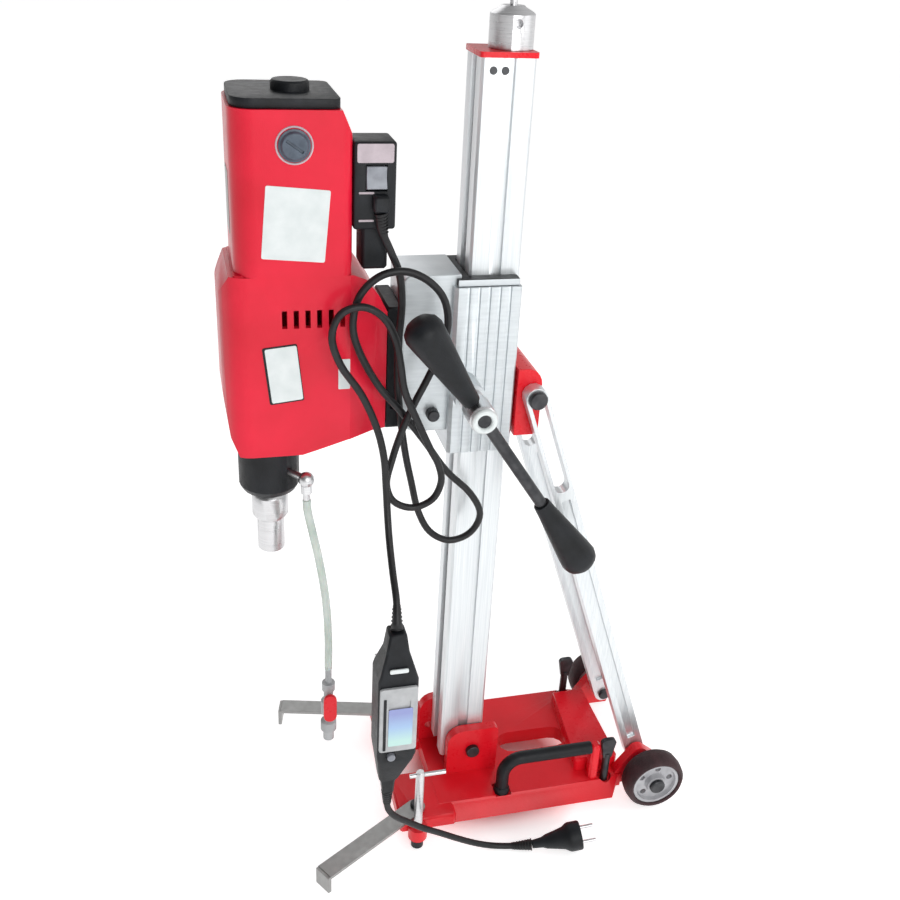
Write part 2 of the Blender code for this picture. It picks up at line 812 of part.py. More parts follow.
def column_extrusion():
    half = COLUMN / 2
    groove = GROOVE_WIDE / 2
    channel = CHANNEL_WIDE / 2
    deep = half - GROOVE_DEEP
    edge = 0.003
    quarter = [(-half, channel), (-half, half - edge), (-half + edge, half), (-groove, half), (-groove, deep)]
    quarter += [(groove, deep), (groove, half), (half - edge, half), (half, half - edge)]
    outline = [(-half + CHANNEL_DEEP, channel)] + quarter
    outline += [(x, -y) for x, y in reversed(outline)]
    hole = round_box((BORE_FRONT, -BORE_HALF), (BORE_REAR, BORE_HALF), (0.003,) * 4, 2)
    column = slab("column_extrusion", [outline, hole], COLUMN_BOTTOM, COLUMN_TOP, "pale_alloy")
    z = TILT_Z
    cut(
        column,
        rod("column_pivot_bore", (TILT_X, -0.06, z), (TILT_X, 0.06, z), TILT_PIN_R + RUNNING, sides=16),
    )


def rack_outline():
    """The rack's side view in XZ, its teeth facing -X."""
    pitch = math.pi * MODULE
    line = PINION_X + MODULE * PINION_TEETH / 2
    tip = line - ADDENDUM * MODULE
    root = line + DEDENDUM * MODULE
    half = pitch * TOOTH_SHARE / 2
    slope = math.tan(PRESSURE_ANGLE)
    back = -COLUMN / 2 + CHANNEL_DEEP - GAP
    first = math.ceil((RACK_BOTTOM + half - FEED_Z) / pitch + 0.8)
    last = math.floor((RACK_TOP - half - FEED_Z) / pitch - 0.8)
    points = [(back, RACK_BOTTOM), (root, RACK_BOTTOM)]
    for number in range(first, last + 1):
        z = FEED_Z + number * pitch
        wide = half + (root - line) * slope
        thin = half - (line - tip) * slope
        points += [(root, z - wide), (tip, z - thin), (tip, z + thin), (root, z + wide)]
    return points + [(root, RACK_TOP), (back, RACK_TOP)]


def spur_outline(teeth, module, share, addendum, dedendum, turn=0.0):
    """A spur gear's outline with involute flanks, a tooth centred on the angle turn."""
    pitch_r = teeth * module / 2
    base_r = pitch_r * math.cos(PRESSURE_ANGLE)
    tip_r = pitch_r + addendum * module
    root_r = pitch_r - dedendum * module

    def involute(radius):
        if radius <= base_r:
            return 0.0
        angle = math.acos(base_r / radius)
        return math.tan(angle) - angle

    half = math.pi * share / teeth + involute(pitch_r)
    radii = [root_r] + [max(root_r, base_r) + (tip_r - max(root_r, base_r)) * i / 2 for i in range(3)]
    flank = [(radius, half - involute(radius)) for radius in radii]
    points = []
    for tooth in range(teeth):
        middle = turn + 2 * math.pi * tooth / teeth
        for radius, away in flank:
            points.append((radius * math.cos(middle - away), radius * math.sin(middle - away)))
        for radius, away in reversed(flank):
            points.append((radius * math.cos(middle + away), radius * math.sin(middle + away)))
    return points


def rack():
    slab("feed_rack", [rack_outline()], -RACK_WIDE / 2, RACK_WIDE / 2, "steel", upright=True)


def column_foot():
    foot = box(
        "column_foot",
        (BORE_FRONT + GAP, -BORE_HALF + GAP, COLUMN_BOTTOM - 0.004),
        (BORE_REAR - GAP, BORE_HALF - GAP, TILT_Z + 0.040),
        "dark_steel",
    )
    bevel(foot, 0.0032)
    z = TILT_Z
    cut(foot, rod("foot_pivot_bore", (TILT_X, -0.06, z), (TILT_X, 0.06, z), TILT_PIN_R + RUNNING, sides=16))


def column_head():
    half = COLUMN / 2 + CAP_OVER
    low = COLUMN_TOP + GAP
    high = low + CAP_THICK
    outline = round_box((-half, -half), (half, half), (0.004,) * 4, 3)
    hole = circle((JACK_X, 0), JACK_SCREW_R + RUNNING, 20)
    slab("column_cap", [outline, hole], low, high, "red_paint")
    foot = high + GAP
    bore = JACK_SCREW_R + RUNNING
    profile = [
        (bore, JACK_TALL), (0.012, JACK_TALL), (0.0135, JACK_TALL - 0.0015),
        (JACK_R - 0.002, JACK_TALL - 0.006),
    ]
    profile += [(JACK_R, JACK_TALL - 0.008), (JACK_R, 0), (bore, 0)]
    jack = turned("jack_body", profile, (JACK_X, 0, foot), "steel", steps=24)
    z = foot + JACK_TALL * 0.62
    cut(jack, rod("tommy_hole", (JACK_X, -0.03, z), (JACK_X, -0.012, z), 0.0045, sides=16))
    profile = [(0, JACK_TIP), (0.0015, JACK_TIP), (JACK_SCREW_R, JACK_TIP - 0.004)]
    profile += [(JACK_SCREW_R, COLUMN_TOP - 0.100), (0, COLUMN_TOP - 0.100)]
    turned("jack_screw", profile, (JACK_X, 0, 0), "steel", steps=14)


def rear_bracket():
    front = COLUMN / 2 + GAP
    rear = BRACE_TOP_X + 0.011
    low, high = BRACE_TOP_Z - 0.055, BRACE_TOP_Z + 0.031
    outline = [(front, low), (rear - 0.008, low)] + arc((rear - 0.006, low + 0.006), 0.006, -60, 0, 3)
    outline += arc((rear - 0.020, high - 0.020), 0.020, 0, 80, 5) + [(front, high)]
    wide = BRACE_INNER - 0.001
    bracket = slab("brace_bracket", [outline], -wide, wide, "red_paint", upright=True)
    bevel(bracket, 0.0015)
    x, z = BRACE_TOP_X, BRACE_TOP_Z
    cut(
        bracket,
        rod("cross_bore", (x, -0.08, z), (x, 0.08, z), BRACE_BOLT_R + RUNNING, sides=20),
    )
    reach = BRACE_INNER + BRACE_THICK + 2 * GAP
    profile = [(0, reach + 0.006), (0.0095, reach + 0.006), (0.0115, reach + 0.004), (0.0115, reach)]
    profile += [(BRACE_BOLT_R, reach), (BRACE_BOLT_R, -reach), (0.0115, -reach), (0.0115, -reach - 0.004)]
    profile += [(0.0095, -reach - 0.006), (0, -reach - 0.006)]
    turned("brace_cross_bolt", profile, (x, 0, z), "dark_steel", (0, 1, 0), 16)


def brace(side):
    """A flat alloy arm, bored at its foot and slotted where the cross bolt slides."""
    foot = Vector((BRACE_FOOT_X, BRACE_FOOT_Z))
    top = Vector((BRACE_TOP_X, BRACE_TOP_Z))
    down = (foot - top).normalized()
    outer = capsule(foot, top, BRACE_WIDE / 2)
    slot = capsule(top, top + down * BRACE_SLOT_LONG, BRACE_SLOT_HALF, 6)
    bore = circle(foot, BRACE_PIN_R + RUNNING, 20)
    near = side * BRACE_INNER
    far = side * (BRACE_INNER + BRACE_THICK)
    made = slab(
        f"brace_{SIDES[side]}", [outer, slot, bore], min(near, far),
        max(near, far), "pale_alloy", upright=True
    )
    start = top + down * (BRACE_SLOT_LONG + 0.022)
    end = foot - down * 0.030
    across = Vector((-down.y, down.x)) * 0.0055
    outline = [start + across, end + across, end - across, start - across]
    for face in (near - side * 0.002, far - side * 0.004):
        cut(
            made,
            slab(
                f"brace_groove_{SIDES[side]}_{face:.3f}",
                [outline],
                min(face, face + side * 0.006),
                max(face, face + side * 0.006),
                upright=True,
            ),
        )


# ---------------------------------------------------------------- carriage


def carriage_housing():
    inner = COLUMN / 2 + PAD_THICK + 2 * GAP
    half = CARRIAGE_HALF
    edge = 0.004
    side = [(CARRIAGE_FRONT, half - edge), (CARRIAGE_FRONT + edge, half)]
    for x in (-0.034, -0.022, -0.010, 0.002, 0.014):
        side += [
            (x - 0.0018, half), (x - 0.0010, half - 0.0018), (x + 0.0010, half - 0.0018),
            (x + 0.0018, half),
        ]
    side += [(CARRIAGE_REAR - 0.002, half), (CARRIAGE_REAR, half - 0.002), (CARRIAGE_REAR, inner)]
    side += [(-COLUMN / 2 - 0.001, inner)]
    outline = side + [(x, -y) for x, y in reversed(side)]
    body = slab("carriage", [outline], CARRIAGE_BOTTOM, CARRIAGE_TOP, "pale_alloy")
    nose_outline = [(CARRIAGE_FRONT + 0.010, NOSE_BOTTOM - 0.004), (CARRIAGE_FRONT + 0.010, NOSE_TOP)]
    nose_outline += arc((NOSE_FRONT + 0.008, NOSE_TOP - 0.008), 0.008, 90, 180, 3)
    nose_outline += [(NOSE_FRONT, NOSE_BOTTOM + 0.004), (NOSE_FRONT + 0.018, NOSE_BOTTOM - 0.004)]
    nose = slab("nose", [nose_outline], -NOSE_HALF, NOSE_HALF, upright=True)
    bevel(nose, 0.002)
    rear = -COLUMN / 2 - 0.001
    boss = rod(
        "pinion_boss",
        (PINION_X, -CARRIAGE_HALF + 0.004, FEED_Z),
        (PINION_X, -BOSS_END, FEED_Z),
        BOSS_R,
    )
    join(body, nose, boss)
    reach = MODULE * (PINION_TEETH / 2 + ADDENDUM) + 0.0012
    cut(
        body,
        rod(
            "pinion_room",
            (PINION_X, -RACK_WIDE / 2 - 0.002, FEED_Z),
            (PINION_X, RACK_WIDE / 2 + 0.002, FEED_Z),
            reach,
        ),
        box(
            "pinion_way",
            (rear - 0.006, -RACK_WIDE / 2 - 0.0014, FEED_Z - reach + 0.0004),
            (rear + 0.010, RACK_WIDE / 2 + 0.0014, FEED_Z + reach - 0.0004),
        ),
        rod("bush_bore", (PINION_X, -0.040, FEED_Z), (PINION_X, -0.120, FEED_Z), 0.0083, sides=20),
        rod(
            "shaft_bore",
            (PINION_X, -0.050, FEED_Z),
            (PINION_X, 0.024, FEED_Z),
            SHAFT_R + RUNNING,
            sides=24,
        ),
        box("lock_room", (-0.080, -0.060, 0.570), (-0.052, -0.0385, 0.592)),
        rod("lock_bore", (-0.068, -0.060, 0.612), (-0.068, -0.018, 0.612), 0.0043, sides=16),
    )


def slide_pad(side):
    """A wear pad between column and carriage, with a tongue in the column's side groove."""
    near = COLUMN / 2 + GAP
    far = near + PAD_THICK
    tongue = GROOVE_WIDE / 2 - 0.001
    deep = COLUMN / 2 - GROOVE_DEEP + GAP + 0.0002
    outline = [(-0.028, near), (-tongue, near), (-tongue, deep), (tongue, deep), (tongue, near)]
    outline += [(0.026, near), (0.026, far), (-0.028, far)]
    outline = [(x, side * y) for x, y in outline]
    slab(
        f"slide_pad_{SIDES[side]}", [outline], CARRIAGE_BOTTOM + 0.004, CARRIAGE_TOP - 0.004, "grey_plastic"
    )


def wiper():
    half = CARRIAGE_HALF - 0.004
    inner = COLUMN / 2 + 0.0006
    low = CARRIAGE_TOP + GAP
    outline = [(-0.046, -half), (0.026, -half), (0.026, -inner), (-inner, -inner), (-inner, inner)]
    outline += [(0.026, inner), (0.026, half), (-0.046, half)]
    made = slab("column_wiper", [outline], low, low + 0.008, "dark_plastic")
    nose_clear = box(
        "wiper_clear", (-0.060, -NOSE_HALF - GAP, low - 0.01),
        (-0.040 + GAP, NOSE_HALF + GAP, low + 0.02),
    )
    cut(made, nose_clear)


def mount_block():
    block = box(
        "motor_mount_block",
        (MOUNT_FRONT, -MOUNT_HALF, NOSE_BOTTOM + 0.004),
        (NOSE_FRONT - GAP, MOUNT_HALF, 0.745),
        "dark_plastic",
    )
    bevel(block, 0.002)
    for z in (0.625, 0.714):
        cut(block, box(f"block_groove_{z}", (-0.1185, -0.05, z - 0.004), (-0.1115, -0.036, z + 0.004)))


def lock_screw():
    start = -NOSE_HALF - GAP
    profile = [
        (0, 0.012), (0.006, 0.012), (0.0075, 0.0105), (0.0075, 0), (0.004, 0), (0.004, -0.018),
        (0, -0.018),
    ]
    turned("carriage_lock_screw", profile, (-0.068, start, 0.612), "dark_steel", (0, -1, 0), 14)


# ---------------------------------------------------------------- feed handle


def pinion_shaft():
    """Gear, shaft and handle hub, turned as one."""
    x = PINION_X
    phase = math.pi / PINION_TEETH
    gear = spur_outline(PINION_TEETH, MODULE, TOOTH_SHARE, ADDENDUM, DEDENDUM, phase)
    outline = [(x + u, FEED_Z + v) for u, v in gear]
    shaft = slab(
        "pinion_shaft", [outline], -RACK_WIDE / 2 + 0.0005, RACK_WIDE / 2 - 0.0005, "steel", upright=True
    )
    profile = [(0, 0.145), (0.009, 0.145), (0.010, 0.143), (HUB_R - 0.002, 0.143), (HUB_R, 0.141)]
    profile += [(HUB_R, 0.108), (HUB_R - 0.001, 0.107), (SHAFT_R, 0.107), (SHAFT_R, -0.020), (0, -0.020)]
    stem = turned("pinion_stem", profile, (x, 0, FEED_Z), axis=(0, -1, 0), steps=18)
    join(shaft, stem)
    heading = Vector((BAR_DIRECTION[0], 0, BAR_DIRECTION[1])).normalized()
    centre = Vector((x, BAR_Y, FEED_Z))
    cut(
        shaft,
        rod("bar_bore", centre - heading * 0.03, centre + heading * 0.03, BAR_R + RUNNING, sides=16),
        rod("hub_recess", (x, -0.140, FEED_Z), (x, -0.155, FEED_Z), 0.0065, sides=20),
    )


def pinion_bush():
    profile = [(SHAFT_R + RUNNING, BOSS_END + 0.0033), (0.0145, BOSS_END + 0.0033), (0.0145, BOSS_END + GAP)]
    profile += [(0.008, BOSS_END + GAP), (0.008, 0.042), (SHAFT_R + RUNNING, 0.042)]
    turned("pinion_bush", profile, (PINION_X, 0, FEED_Z), "steel", (0, -1, 0), 18)


def feed_bar():
    heading = Vector((BAR_DIRECTION[0], 0, BAR_DIRECTION[1])).normalized()
    centre = Vector((PINION_X, BAR_Y, FEED_Z))
    rod(
        "feed_bar",
        centre - heading * (BAR_UP - 0.014),
        centre + heading * (BAR_DOWN - 0.014),
        BAR_R,
        "dark_steel",
        24,
    )
    upper = BAR_UP - HUB_R - 0.0012
    for name, reach, along, heel in (
        ("handle_grip_upper", BAR_UP, -heading, upper),
        ("handle_grip_lower", BAR_DOWN, heading, GRIP_LONG),
    ):
        bore = BAR_R + GAP
        profile = [(0, 0), (0.008, -0.0004), (GRIP_FAT - 0.008, -0.003), (GRIP_FAT - 0.002, -0.009)]
        profile += [(GRIP_FAT, -0.016), (GRIP_FAT - 0.001, -0.026), (GRIP_THIN + 0.0012, -heel + 0.012)]
        profile += [(GRIP_THIN, -heel), (bore, -heel), (bore, -0.0137), (0, -0.0137)]
        turned(name, profile, centre + along * reach, "dark_plastic", along, 18)


# ---------------------------------------------------------------- drill motor


def gearbox_housing():
    bottom = GEARBOX_BOTTOM
    side = [(-0.222, bottom), (-0.205, 0.583), (-0.170, 0.594), (FLANGE_FRONT, 0.600), (FLANGE_FRONT, 0.742)]
    side += [(-0.134, 0.760), (-0.150, 0.782), (MOTOR_REAR, MOTOR_BOTTOM - GAP), (-0.296, MOTOR_BOTTOM - GAP)]
    side += [(-0.307, 0.768), (-0.307, 0.650), (-0.301, 0.600), (-0.292, bottom)]
    housing = slab("gearbox_housing", [side], -GEARBOX_HALF, GEARBOX_HALF, "red_paint", upright=True)
    plan = [(FLANGE_FRONT + 0.01, 0.044), (-0.140, 0.046), (-0.168, GEARBOX_HALF)]
    plan += arc((-0.307 + 0.030, GEARBOX_HALF - 0.030), 0.030, 90, 180, 6)
    plan += [(x, -y) for x, y in reversed(plan)]
    stock = slab("gearbox_plan", [plan], 0.5, 0.9)
    boolean(housing, stock, "INTERSECT")
    room = [(MOTOR_FRONT + SHELL, MOTOR_BOTTOM + 0.01), (MOTOR_FRONT + SHELL, 0.776), (-0.298, 0.752)]
    room += [(-0.298, 0.650), (-0.290, 0.588), (-0.212, 0.588), (-0.186, 0.604)]
    room += [(-0.186, MOTOR_BOTTOM + 0.01)]
    inside = slab("gearbox_room", [room], -0.049, 0.049, upright=True)
    inside_plan = slab(
        "gearbox_room_plan",
        [round_box((-0.299, -0.050), (-0.184, 0.050), (0.004, 0.024, 0.024, 0.004), 4)], 0.5, 0.9,
    )
    boolean(inside, inside_plan, "INTERSECT")
    cut(
        housing,
        inside,
        rod("gearbox_mouth", (SPINDLE_X, 0, 0.560), (SPINDLE_X, 0, 0.600), 0.0200, sides=32),
    )
    for number in range(6):
        x = -0.242 + 0.0125 * number
        cut(housing, box(f"vent_{number}", (x, -0.070, 0.732), (x + 0.0055, -0.040, 0.752)))


def motor_housing():
    low, high = MOTOR_BOTTOM, MOTOR_TOP
    plan = round_box(
        (MOTOR_FRONT, -MOTOR_HALF), (MOTOR_REAR, MOTOR_HALF), (0.012, MOTOR_CORNER, MOTOR_CORNER, 0.012), 6
    )
    housing = slab("motor_housing", [plan], low, high, "red_paint")
    profile = [
        (MOTOR_FRONT - 0.01, low - 0.01), (MOTOR_REAR + 0.01, low - 0.01),
        (MOTOR_REAR + 0.01, high - 0.050),
    ]
    profile += [
        (MOTOR_REAR, high - 0.026), (MOTOR_REAR - 0.016, high + 0.01),
        (MOTOR_FRONT - 0.01, high + 0.01),
    ]
    shoulder = slab("motor_shoulder", [profile], -0.1, 0.1, upright=True)
    boolean(housing, shoulder, "INTERSECT")
    room = round_box(
        (MOTOR_FRONT + SHELL, -MOTOR_HALF + SHELL),
        (MOTOR_REAR - 0.022, MOTOR_HALF - SHELL),
        (0.008, MOTOR_CORNER - SHELL, MOTOR_CORNER - SHELL, 0.008),
        6,
    )
    cut(housing, slab("motor_room", [room], low - 0.01, high + 0.01))


def end_cap():
    low = MOTOR_TOP + GAP
    plan = round_box(
        (MOTOR_FRONT + 0.003, -0.056), (MOTOR_REAR - 0.012, 0.056), (0.010, 0.022, 0.022, 0.010), 5,
    )
    cap = slab("motor_end_cap", [plan], low, low + 0.0097, "dark_plastic")
    bevel(cap, 0.0025, 2)
    profile = [
        (0, 0.980), (0.018, 0.980), (0.020, 0.978), (0.020, 0.966), (0.013, 0.966), (0.013, 0.942),
        (0, 0.942),
    ]
    knob = turned("cap_knob", profile, (MOTOR_X, 0, 0), steps=18)
    join(cap, knob)
    cut(cap, rod("bearing_bore", (MOTOR_X, 0, 0.930), (MOTOR_X, 0, 0.958), 0.0055 + RUNNING, sides=16))


def gear_sizes():
    """The module that puts the motor pinion and the drive gear in mesh."""
    return 2 * (MOTOR_X - SPINDLE_X) / (GEAR_TEETH + MOTOR_PINION_TEETH)


def armature():
    """Rotor, commutator and helical pinion's stand-in on one shaft."""
    module = gear_sizes()
    turn = math.pi
    outline = spur_outline(MOTOR_PINION_TEETH, module, 0.42, 0.75, 1.0, turn)
    outline = [(MOTOR_X + u, v) for u, v in outline]
    gear = slab("motor_armature", [outline], GEAR_Z - GEAR_WIDE / 2, GEAR_Z + GEAR_WIDE / 2 + 0.004, "steel")
    profile = [(0, 0.956), (0.0055, 0.956), (0.0055, 0.936), (0.015, 0.936), (0.015, 0.912), (0.008, 0.910)]
    profile += [
        (0.008, 0.896), (0.027, 0.892), (0.027, 0.822), (0.008, 0.816), (0.0045, 0.780),
        (0.0045, 0.766),
    ]
    profile += [(0, 0.766)]
    join(gear, turned("armature_shaft", profile, (MOTOR_X, 0, 0), steps=18))


def drive_gear():
    module = gear_sizes()
    outline = spur_outline(GEAR_TEETH, module, 0.42, 0.75, 1.0, math.pi / GEAR_TEETH)
    outline = [(SPINDLE_X + u, v) for u, v in outline]
    hole = circle((SPINDLE_X, 0), 0.0083, 24)
    slab("drive_gear", [outline, hole], GEAR_Z - GEAR_WIDE / 2, GEAR_Z + GEAR_WIDE / 2, "steel")


def spindle():
    bore = 0.012
    profile = [(0, 0.774), (0.0075, 0.774), (0.008, 0.773), (0.008, GEAR_Z - GEAR_WIDE / 2 - GAP)]
    profile += [
        (0.012, GEAR_Z - GEAR_WIDE / 2 - GAP), (0.012, 0.604), (SPINDLE_R, 0.600), (SPINDLE_R, 0.5035),
    ]
    profile += [
        (ADAPTER_R - 0.003, 0.5035), (ADAPTER_R, 0.499), (ADAPTER_R, 0.473), (ADAPTER_R - 0.003, 0.468),
    ]
    profile += [(SPINDLE_R - 0.001, 0.468), (SPINDLE_R - 0.001, SPINDLE_BOTTOM + 0.002)]
    profile += [(SPINDLE_R - 0.003, SPINDLE_BOTTOM), (bore, SPINDLE_BOTTOM), (bore, 0.452), (0, 0.456)]
    made = turned("spindle", profile, (SPINDLE_X, 0, 0), "steel", steps=20)
    x = SPINDLE_X
    for side in SIDES:
        cut(
            made,
            box(
                f"spanner_flat_{SIDES[side]}",
                (x - 0.03, min(side * 0.0205, side * 0.04), 0.470),
                (x + 0.03, max(side * 0.0205, side * 0.04), 0.498),
            ),
        )


def spindle_collar():
    bore = SPINDLE_R + RUNNING
    profile = [(bore, COLLAR_TOP), (COLLAR_R, COLLAR_TOP), (COLLAR_R, COLLAR_BOTTOM + 0.010)]
    profile += [
        (COLLAR_R - 0.004, COLLAR_BOTTOM + 0.003), (COLLAR_R - 0.010, COLLAR_BOTTOM),
        (bore, COLLAR_BOTTOM),
    ]
    collar = turned("spindle_collar", profile, (SPINDLE_X, 0, 0), "dark_plastic", steps=24)
    reach = nipple_heading() * 0.030
    start = Vector((SPINDLE_X, 0, 0.541)) + reach
    cut(collar, rod("nipple_bore", start, start + reach, 0.0048, sides=16))


def nipple_heading():
    """From the spindle's axis towards the hose, level."""
    return (Vector((HOSE_ROUTE[0][0], HOSE_ROUTE[0][1], 0)) - Vector((SPINDLE_X, 0, 0))).normalized()


def water_nipple():
    centre = Vector((HOSE_ROUTE[0][0], HOSE_ROUTE[0][1], 0.541))
    heading = nipple_heading()

    def ball(work):
        bmesh.ops.create_uvsphere(work, u_segments=12, v_segments=8, radius=0.0095)

    nipple = piece("water_nipple", mesh_of(ball, "water_nipple"), "steel", centre)
    smooth(nipple)
    inner = Vector((SPINDLE_X, 0, 0.541)) + heading * 0.0315
    join(
        nipple,
        rod("nipple_stub", inner, centre, 0.0045, sides=16),
        rod("nipple_barb", centre, centre - Vector((0, 0, 0.0265)), 0.0042, sides=16),
        rod("nipple_nut", centre - Vector((0, 0, 0.007)), centre - Vector((0, 0, 0.018)), 0.0068, sides=6),
    )


def dial():
    face = -MOTOR_HALF - GAP
    centre = (MOTOR_X - 0.003, face, 0.926)
    profile = [
        (0, 0.0062), (0.0125, 0.0062), (0.0135, 0.0052), (0.0140, 0.0020), (0.0165, 0.0016),
        (0.0165, 0), (0, 0),
    ]
    made = turned("gear_dial", profile, centre, "grey_plastic", (0, -1, 0), 20)
    x, _, z = centre
    slot = box("dial_slot", (-0.010, -0.004, -0.0014), (0.010, 0.004, 0.0014))
    slot.location = (x, face - 0.0082, z)
    slot.rotation_euler = (0, math.radians(35), 0)
    cut(made, slot)


def switch_box():
    front = MOTOR_REAR + GAP
    case = box("switch_box", (front, -0.056, 0.838), (-0.121, -0.010, 0.929), "dark_plastic")
    bevel(case, 0.003, 2)
    block = box("switch_neck", (-0.156, -0.052, 0.7935), (-0.128, -0.014, 0.842))
    bevel(block, 0.003)
    outlet = box("cord_outlet", (-0.1465, -0.0690, 0.8582), (-0.1295, -0.050, 0.8760))
    bevel(outlet, 0.002)
    join(case, block, outlet)
    cut(case, box("rocker_pocket", (-0.1531, -0.070, 0.8785), (-0.1309, -0.0465, 0.9055)))


def rocker():
    z = 0.892
    outline = [(-0.0485, z - 0.0118), (-0.0560, z - 0.0118), (-0.0595, z - 0.0110), (-0.0572, z)]
    outline += [(-0.0595, z + 0.0110), (-0.0560, z + 0.0118), (-0.0485, z + 0.0118)]
    made = slab("switch_rocker", [outline], -0.0105, 0.0105, "grey_plastic")
    pivot = Vector((-0.142, -0.0520, z))
    for vertex in made.data.vertices:
        y, height, along = vertex.co
        vertex.co = (along, y - pivot.y, height - pivot.z)
    made.matrix_world = Matrix.Translation(pivot) @ Matrix.Rotation(-ROCKER_TILT, 4, "X")


def valve():
    x, y = VALVE
    profile = [
        (0, 0.2612), (0.0042, 0.2612), (0.0042, 0.240), (0.0085, 0.240), (0.0085, 0.228),
        (0.0062, 0.226),
    ]
    profile += [(0.0062, 0.214), (0.0100, 0.210), (0.0100, 0.190), (0.0062, 0.186), (0.0062, 0.178)]
    profile += [
        (0.0105, 0.176), (0.0105, 0.162), (0.0072, 0.160), (0.0072, 0.146), (0.0045, 0.146),
        (0.0045, 0.156),
    ]
    profile += [(0, 0.156)]
    body = turned("water_valve", profile, (x, y, 0), "grey_plastic", steps=16)
    boss = rod("valve_boss", (x, y, 0.200), (x, y - 0.0125, 0.200), 0.006, sides=20)
    join(body, boss)
    cut(body, rod("valve_stem_bore", (x, y - 0.006, 0.200), (x, y - 0.02, 0.200), 0.0030 + RUNNING, sides=16))
    outline = capsule((x, 0.196), (x, 0.222), 0.0085, 8)
    lever = slab("valve_lever", [outline], y - 0.0178, y - 0.0128, "red_paint", upright=True)
    bevel(lever, 0.0012)
    join(lever, rod("valve_stem", (x, y - 0.0145, 0.200), (x, y - 0.0065, 0.200), 0.0030, sides=16))


# ---------------------------------------------------------------- lead and breaker


def breaker():
    x = BREAKER_X
    half = BREAKER_HALF
    bottom = BREAKER_OUT[0]
    outline = [
        (bottom + 0.007, 0.158), (bottom + 0.0085, 0.178), (bottom + 0.012, 0.182),
        (x + half, BREAKER_LOW),
    ]
    outline += [(x + half, BREAKER_HIGH), (x + 0.014, 0.378), (x + 0.010, 0.404)]
    outline += [(x - 0.010, 0.404), (x - 0.014, 0.378), (x - half, BREAKER_HIGH)]
    outline += [
        (x - half, BREAKER_LOW), (bottom - 0.012, 0.182), (bottom - 0.0085, 0.178),
        (bottom - 0.007, 0.158),
    ]
    case = slab("breaker_case", [outline], BREAKER_NEAR, BREAKER_FAR, "dark_plastic", upright=True)
    mid = (BREAKER_NEAR + BREAKER_FAR) / 2
    side = [(-0.0085, 0.15), (0.0085, 0.15), (0.0085, 0.180), (0.021, 0.222), (0.021, 0.352)]
    side += [(0.012, 0.380), (0.012, 0.41), (-0.012, 0.41), (-0.012, 0.380), (-0.021, 0.352)]
    side += [(-0.021, 0.222), (-0.0085, 0.180)]
    outline = [(mid + y, z) for y, z in side]
    stock = slab("breaker_side", [outline], -0.2, 0.0)
    for vertex in stock.data.vertices:
        y, z, along = vertex.co
        vertex.co = (x + along, y, z)
    stock.matrix_world = Matrix.Identity(4)
    work = bmesh.new()
    work.from_mesh(stock.data)
    bmesh.ops.recalc_face_normals(work, faces=work.faces)
    work.to_mesh(stock.data)
    work.free()
    boolean(case, stock, "INTERSECT")
    bevel(case, 0.002, 1, 30)
    cut(
        case,
        rod(
            "button_bore", (-0.138, BREAKER_NEAR - 0.010, 0.232), (-0.138, BREAKER_NEAR + 0.009, 0.232),
            0.0054, sides=20,
        ),
    )
    face = BREAKER_NEAR - GAP
    plate_outline = round_box((x - 0.0225, 0.243), (x + 0.0225, 0.338), (0.003,) * 4, 2)
    plate = slab("breaker_cover", [plate_outline], face - 0.0038, face, "grey_plastic", upright=True)
    cut(
        plate,
        box("cover_window", (x - 0.012, face - 0.006, 0.252), (x + 0.014, face - 0.0022, 0.318)),
    )
    profile = [(0, 0.0042), (0.0042, 0.0042), (0.0050, 0.0034), (0.0050, -0.005), (0, -0.005)]
    turned("breaker_button", profile, (-0.138, BREAKER_NEAR, 0.232), "grey_plastic", (0, -1, 0), 14)


def plug():
    """A round moulded plug with two pins, lying on the floor."""
    start = Vector(PLUG_START)
    heading = PLUG_HEADING
    profile = [(0, 0.0), (0.0055, 0.0), (0.0070, 0.014), (0.0095, 0.020), (0.0125, 0.034), (0.0150, 0.044)]
    profile += [(0.0188, 0.050), (0.0195, 0.053), (0.0195, 0.066), (0.0185, 0.068), (0, 0.068)]
    body = turned("plug", list(reversed(profile)), start, "dark_plastic", heading, 18)
    across = heading.cross(Vector((0, 0, 1))).normalized()
    slant = (across * 0.8 + heading.cross(across) * 0.6).normalized()
    for sign in (-1, 1):
        foot = start + heading * 0.060 + slant * sign * 0.0095
        join(body, rod(f"pin_{sign}", foot, foot + heading * 0.027, 0.0024, sides=14))


def cords():
    tube("power_cord", smooth_path(POWER_ROUTE, 0.0255), CORD_R, "dark_plastic", 2)
    tube("supply_cord", smooth_path(SUPPLY_ROUTE, 0.017), CORD_R, "dark_plastic", 2)
    tube("water_hose", smooth_path(HOSE_ROUTE, 0.024), HOSE_R, "clear_hose", 2)


# ---------------------------------------------------------------- assembly

base_casting()
carry_handle()
tilt_pin()
column_extrusion()
rack()
column_foot()
column_head()
rear_bracket()
for rig_side in SIDES:
    brace_pin(rig_side)
    wheel(rig_side)
    front_screw(rig_side)
    rear_screw(rig_side)
    guide_strip(rig_side)
    brace(rig_side)
    slide_pad(rig_side)
carriage_housing()
wiper()
mount_block()
lock_screw()
pinion_shaft()
pinion_bush()
feed_bar()
gearbox_housing()
motor_housing()
end_cap()
armature()
drive_gear()
spindle()
spindle_collar()
water_nipple()
dial()
switch_box()
rocker()
valve()
breaker()
plug()
cords()

for made in [*PARTS.objects, *CUTTERS.objects]:
    made.location.z -= BASE_UNDER
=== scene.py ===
import json
import math

import bmesh
import bpy
from mathutils import Matrix, Vector


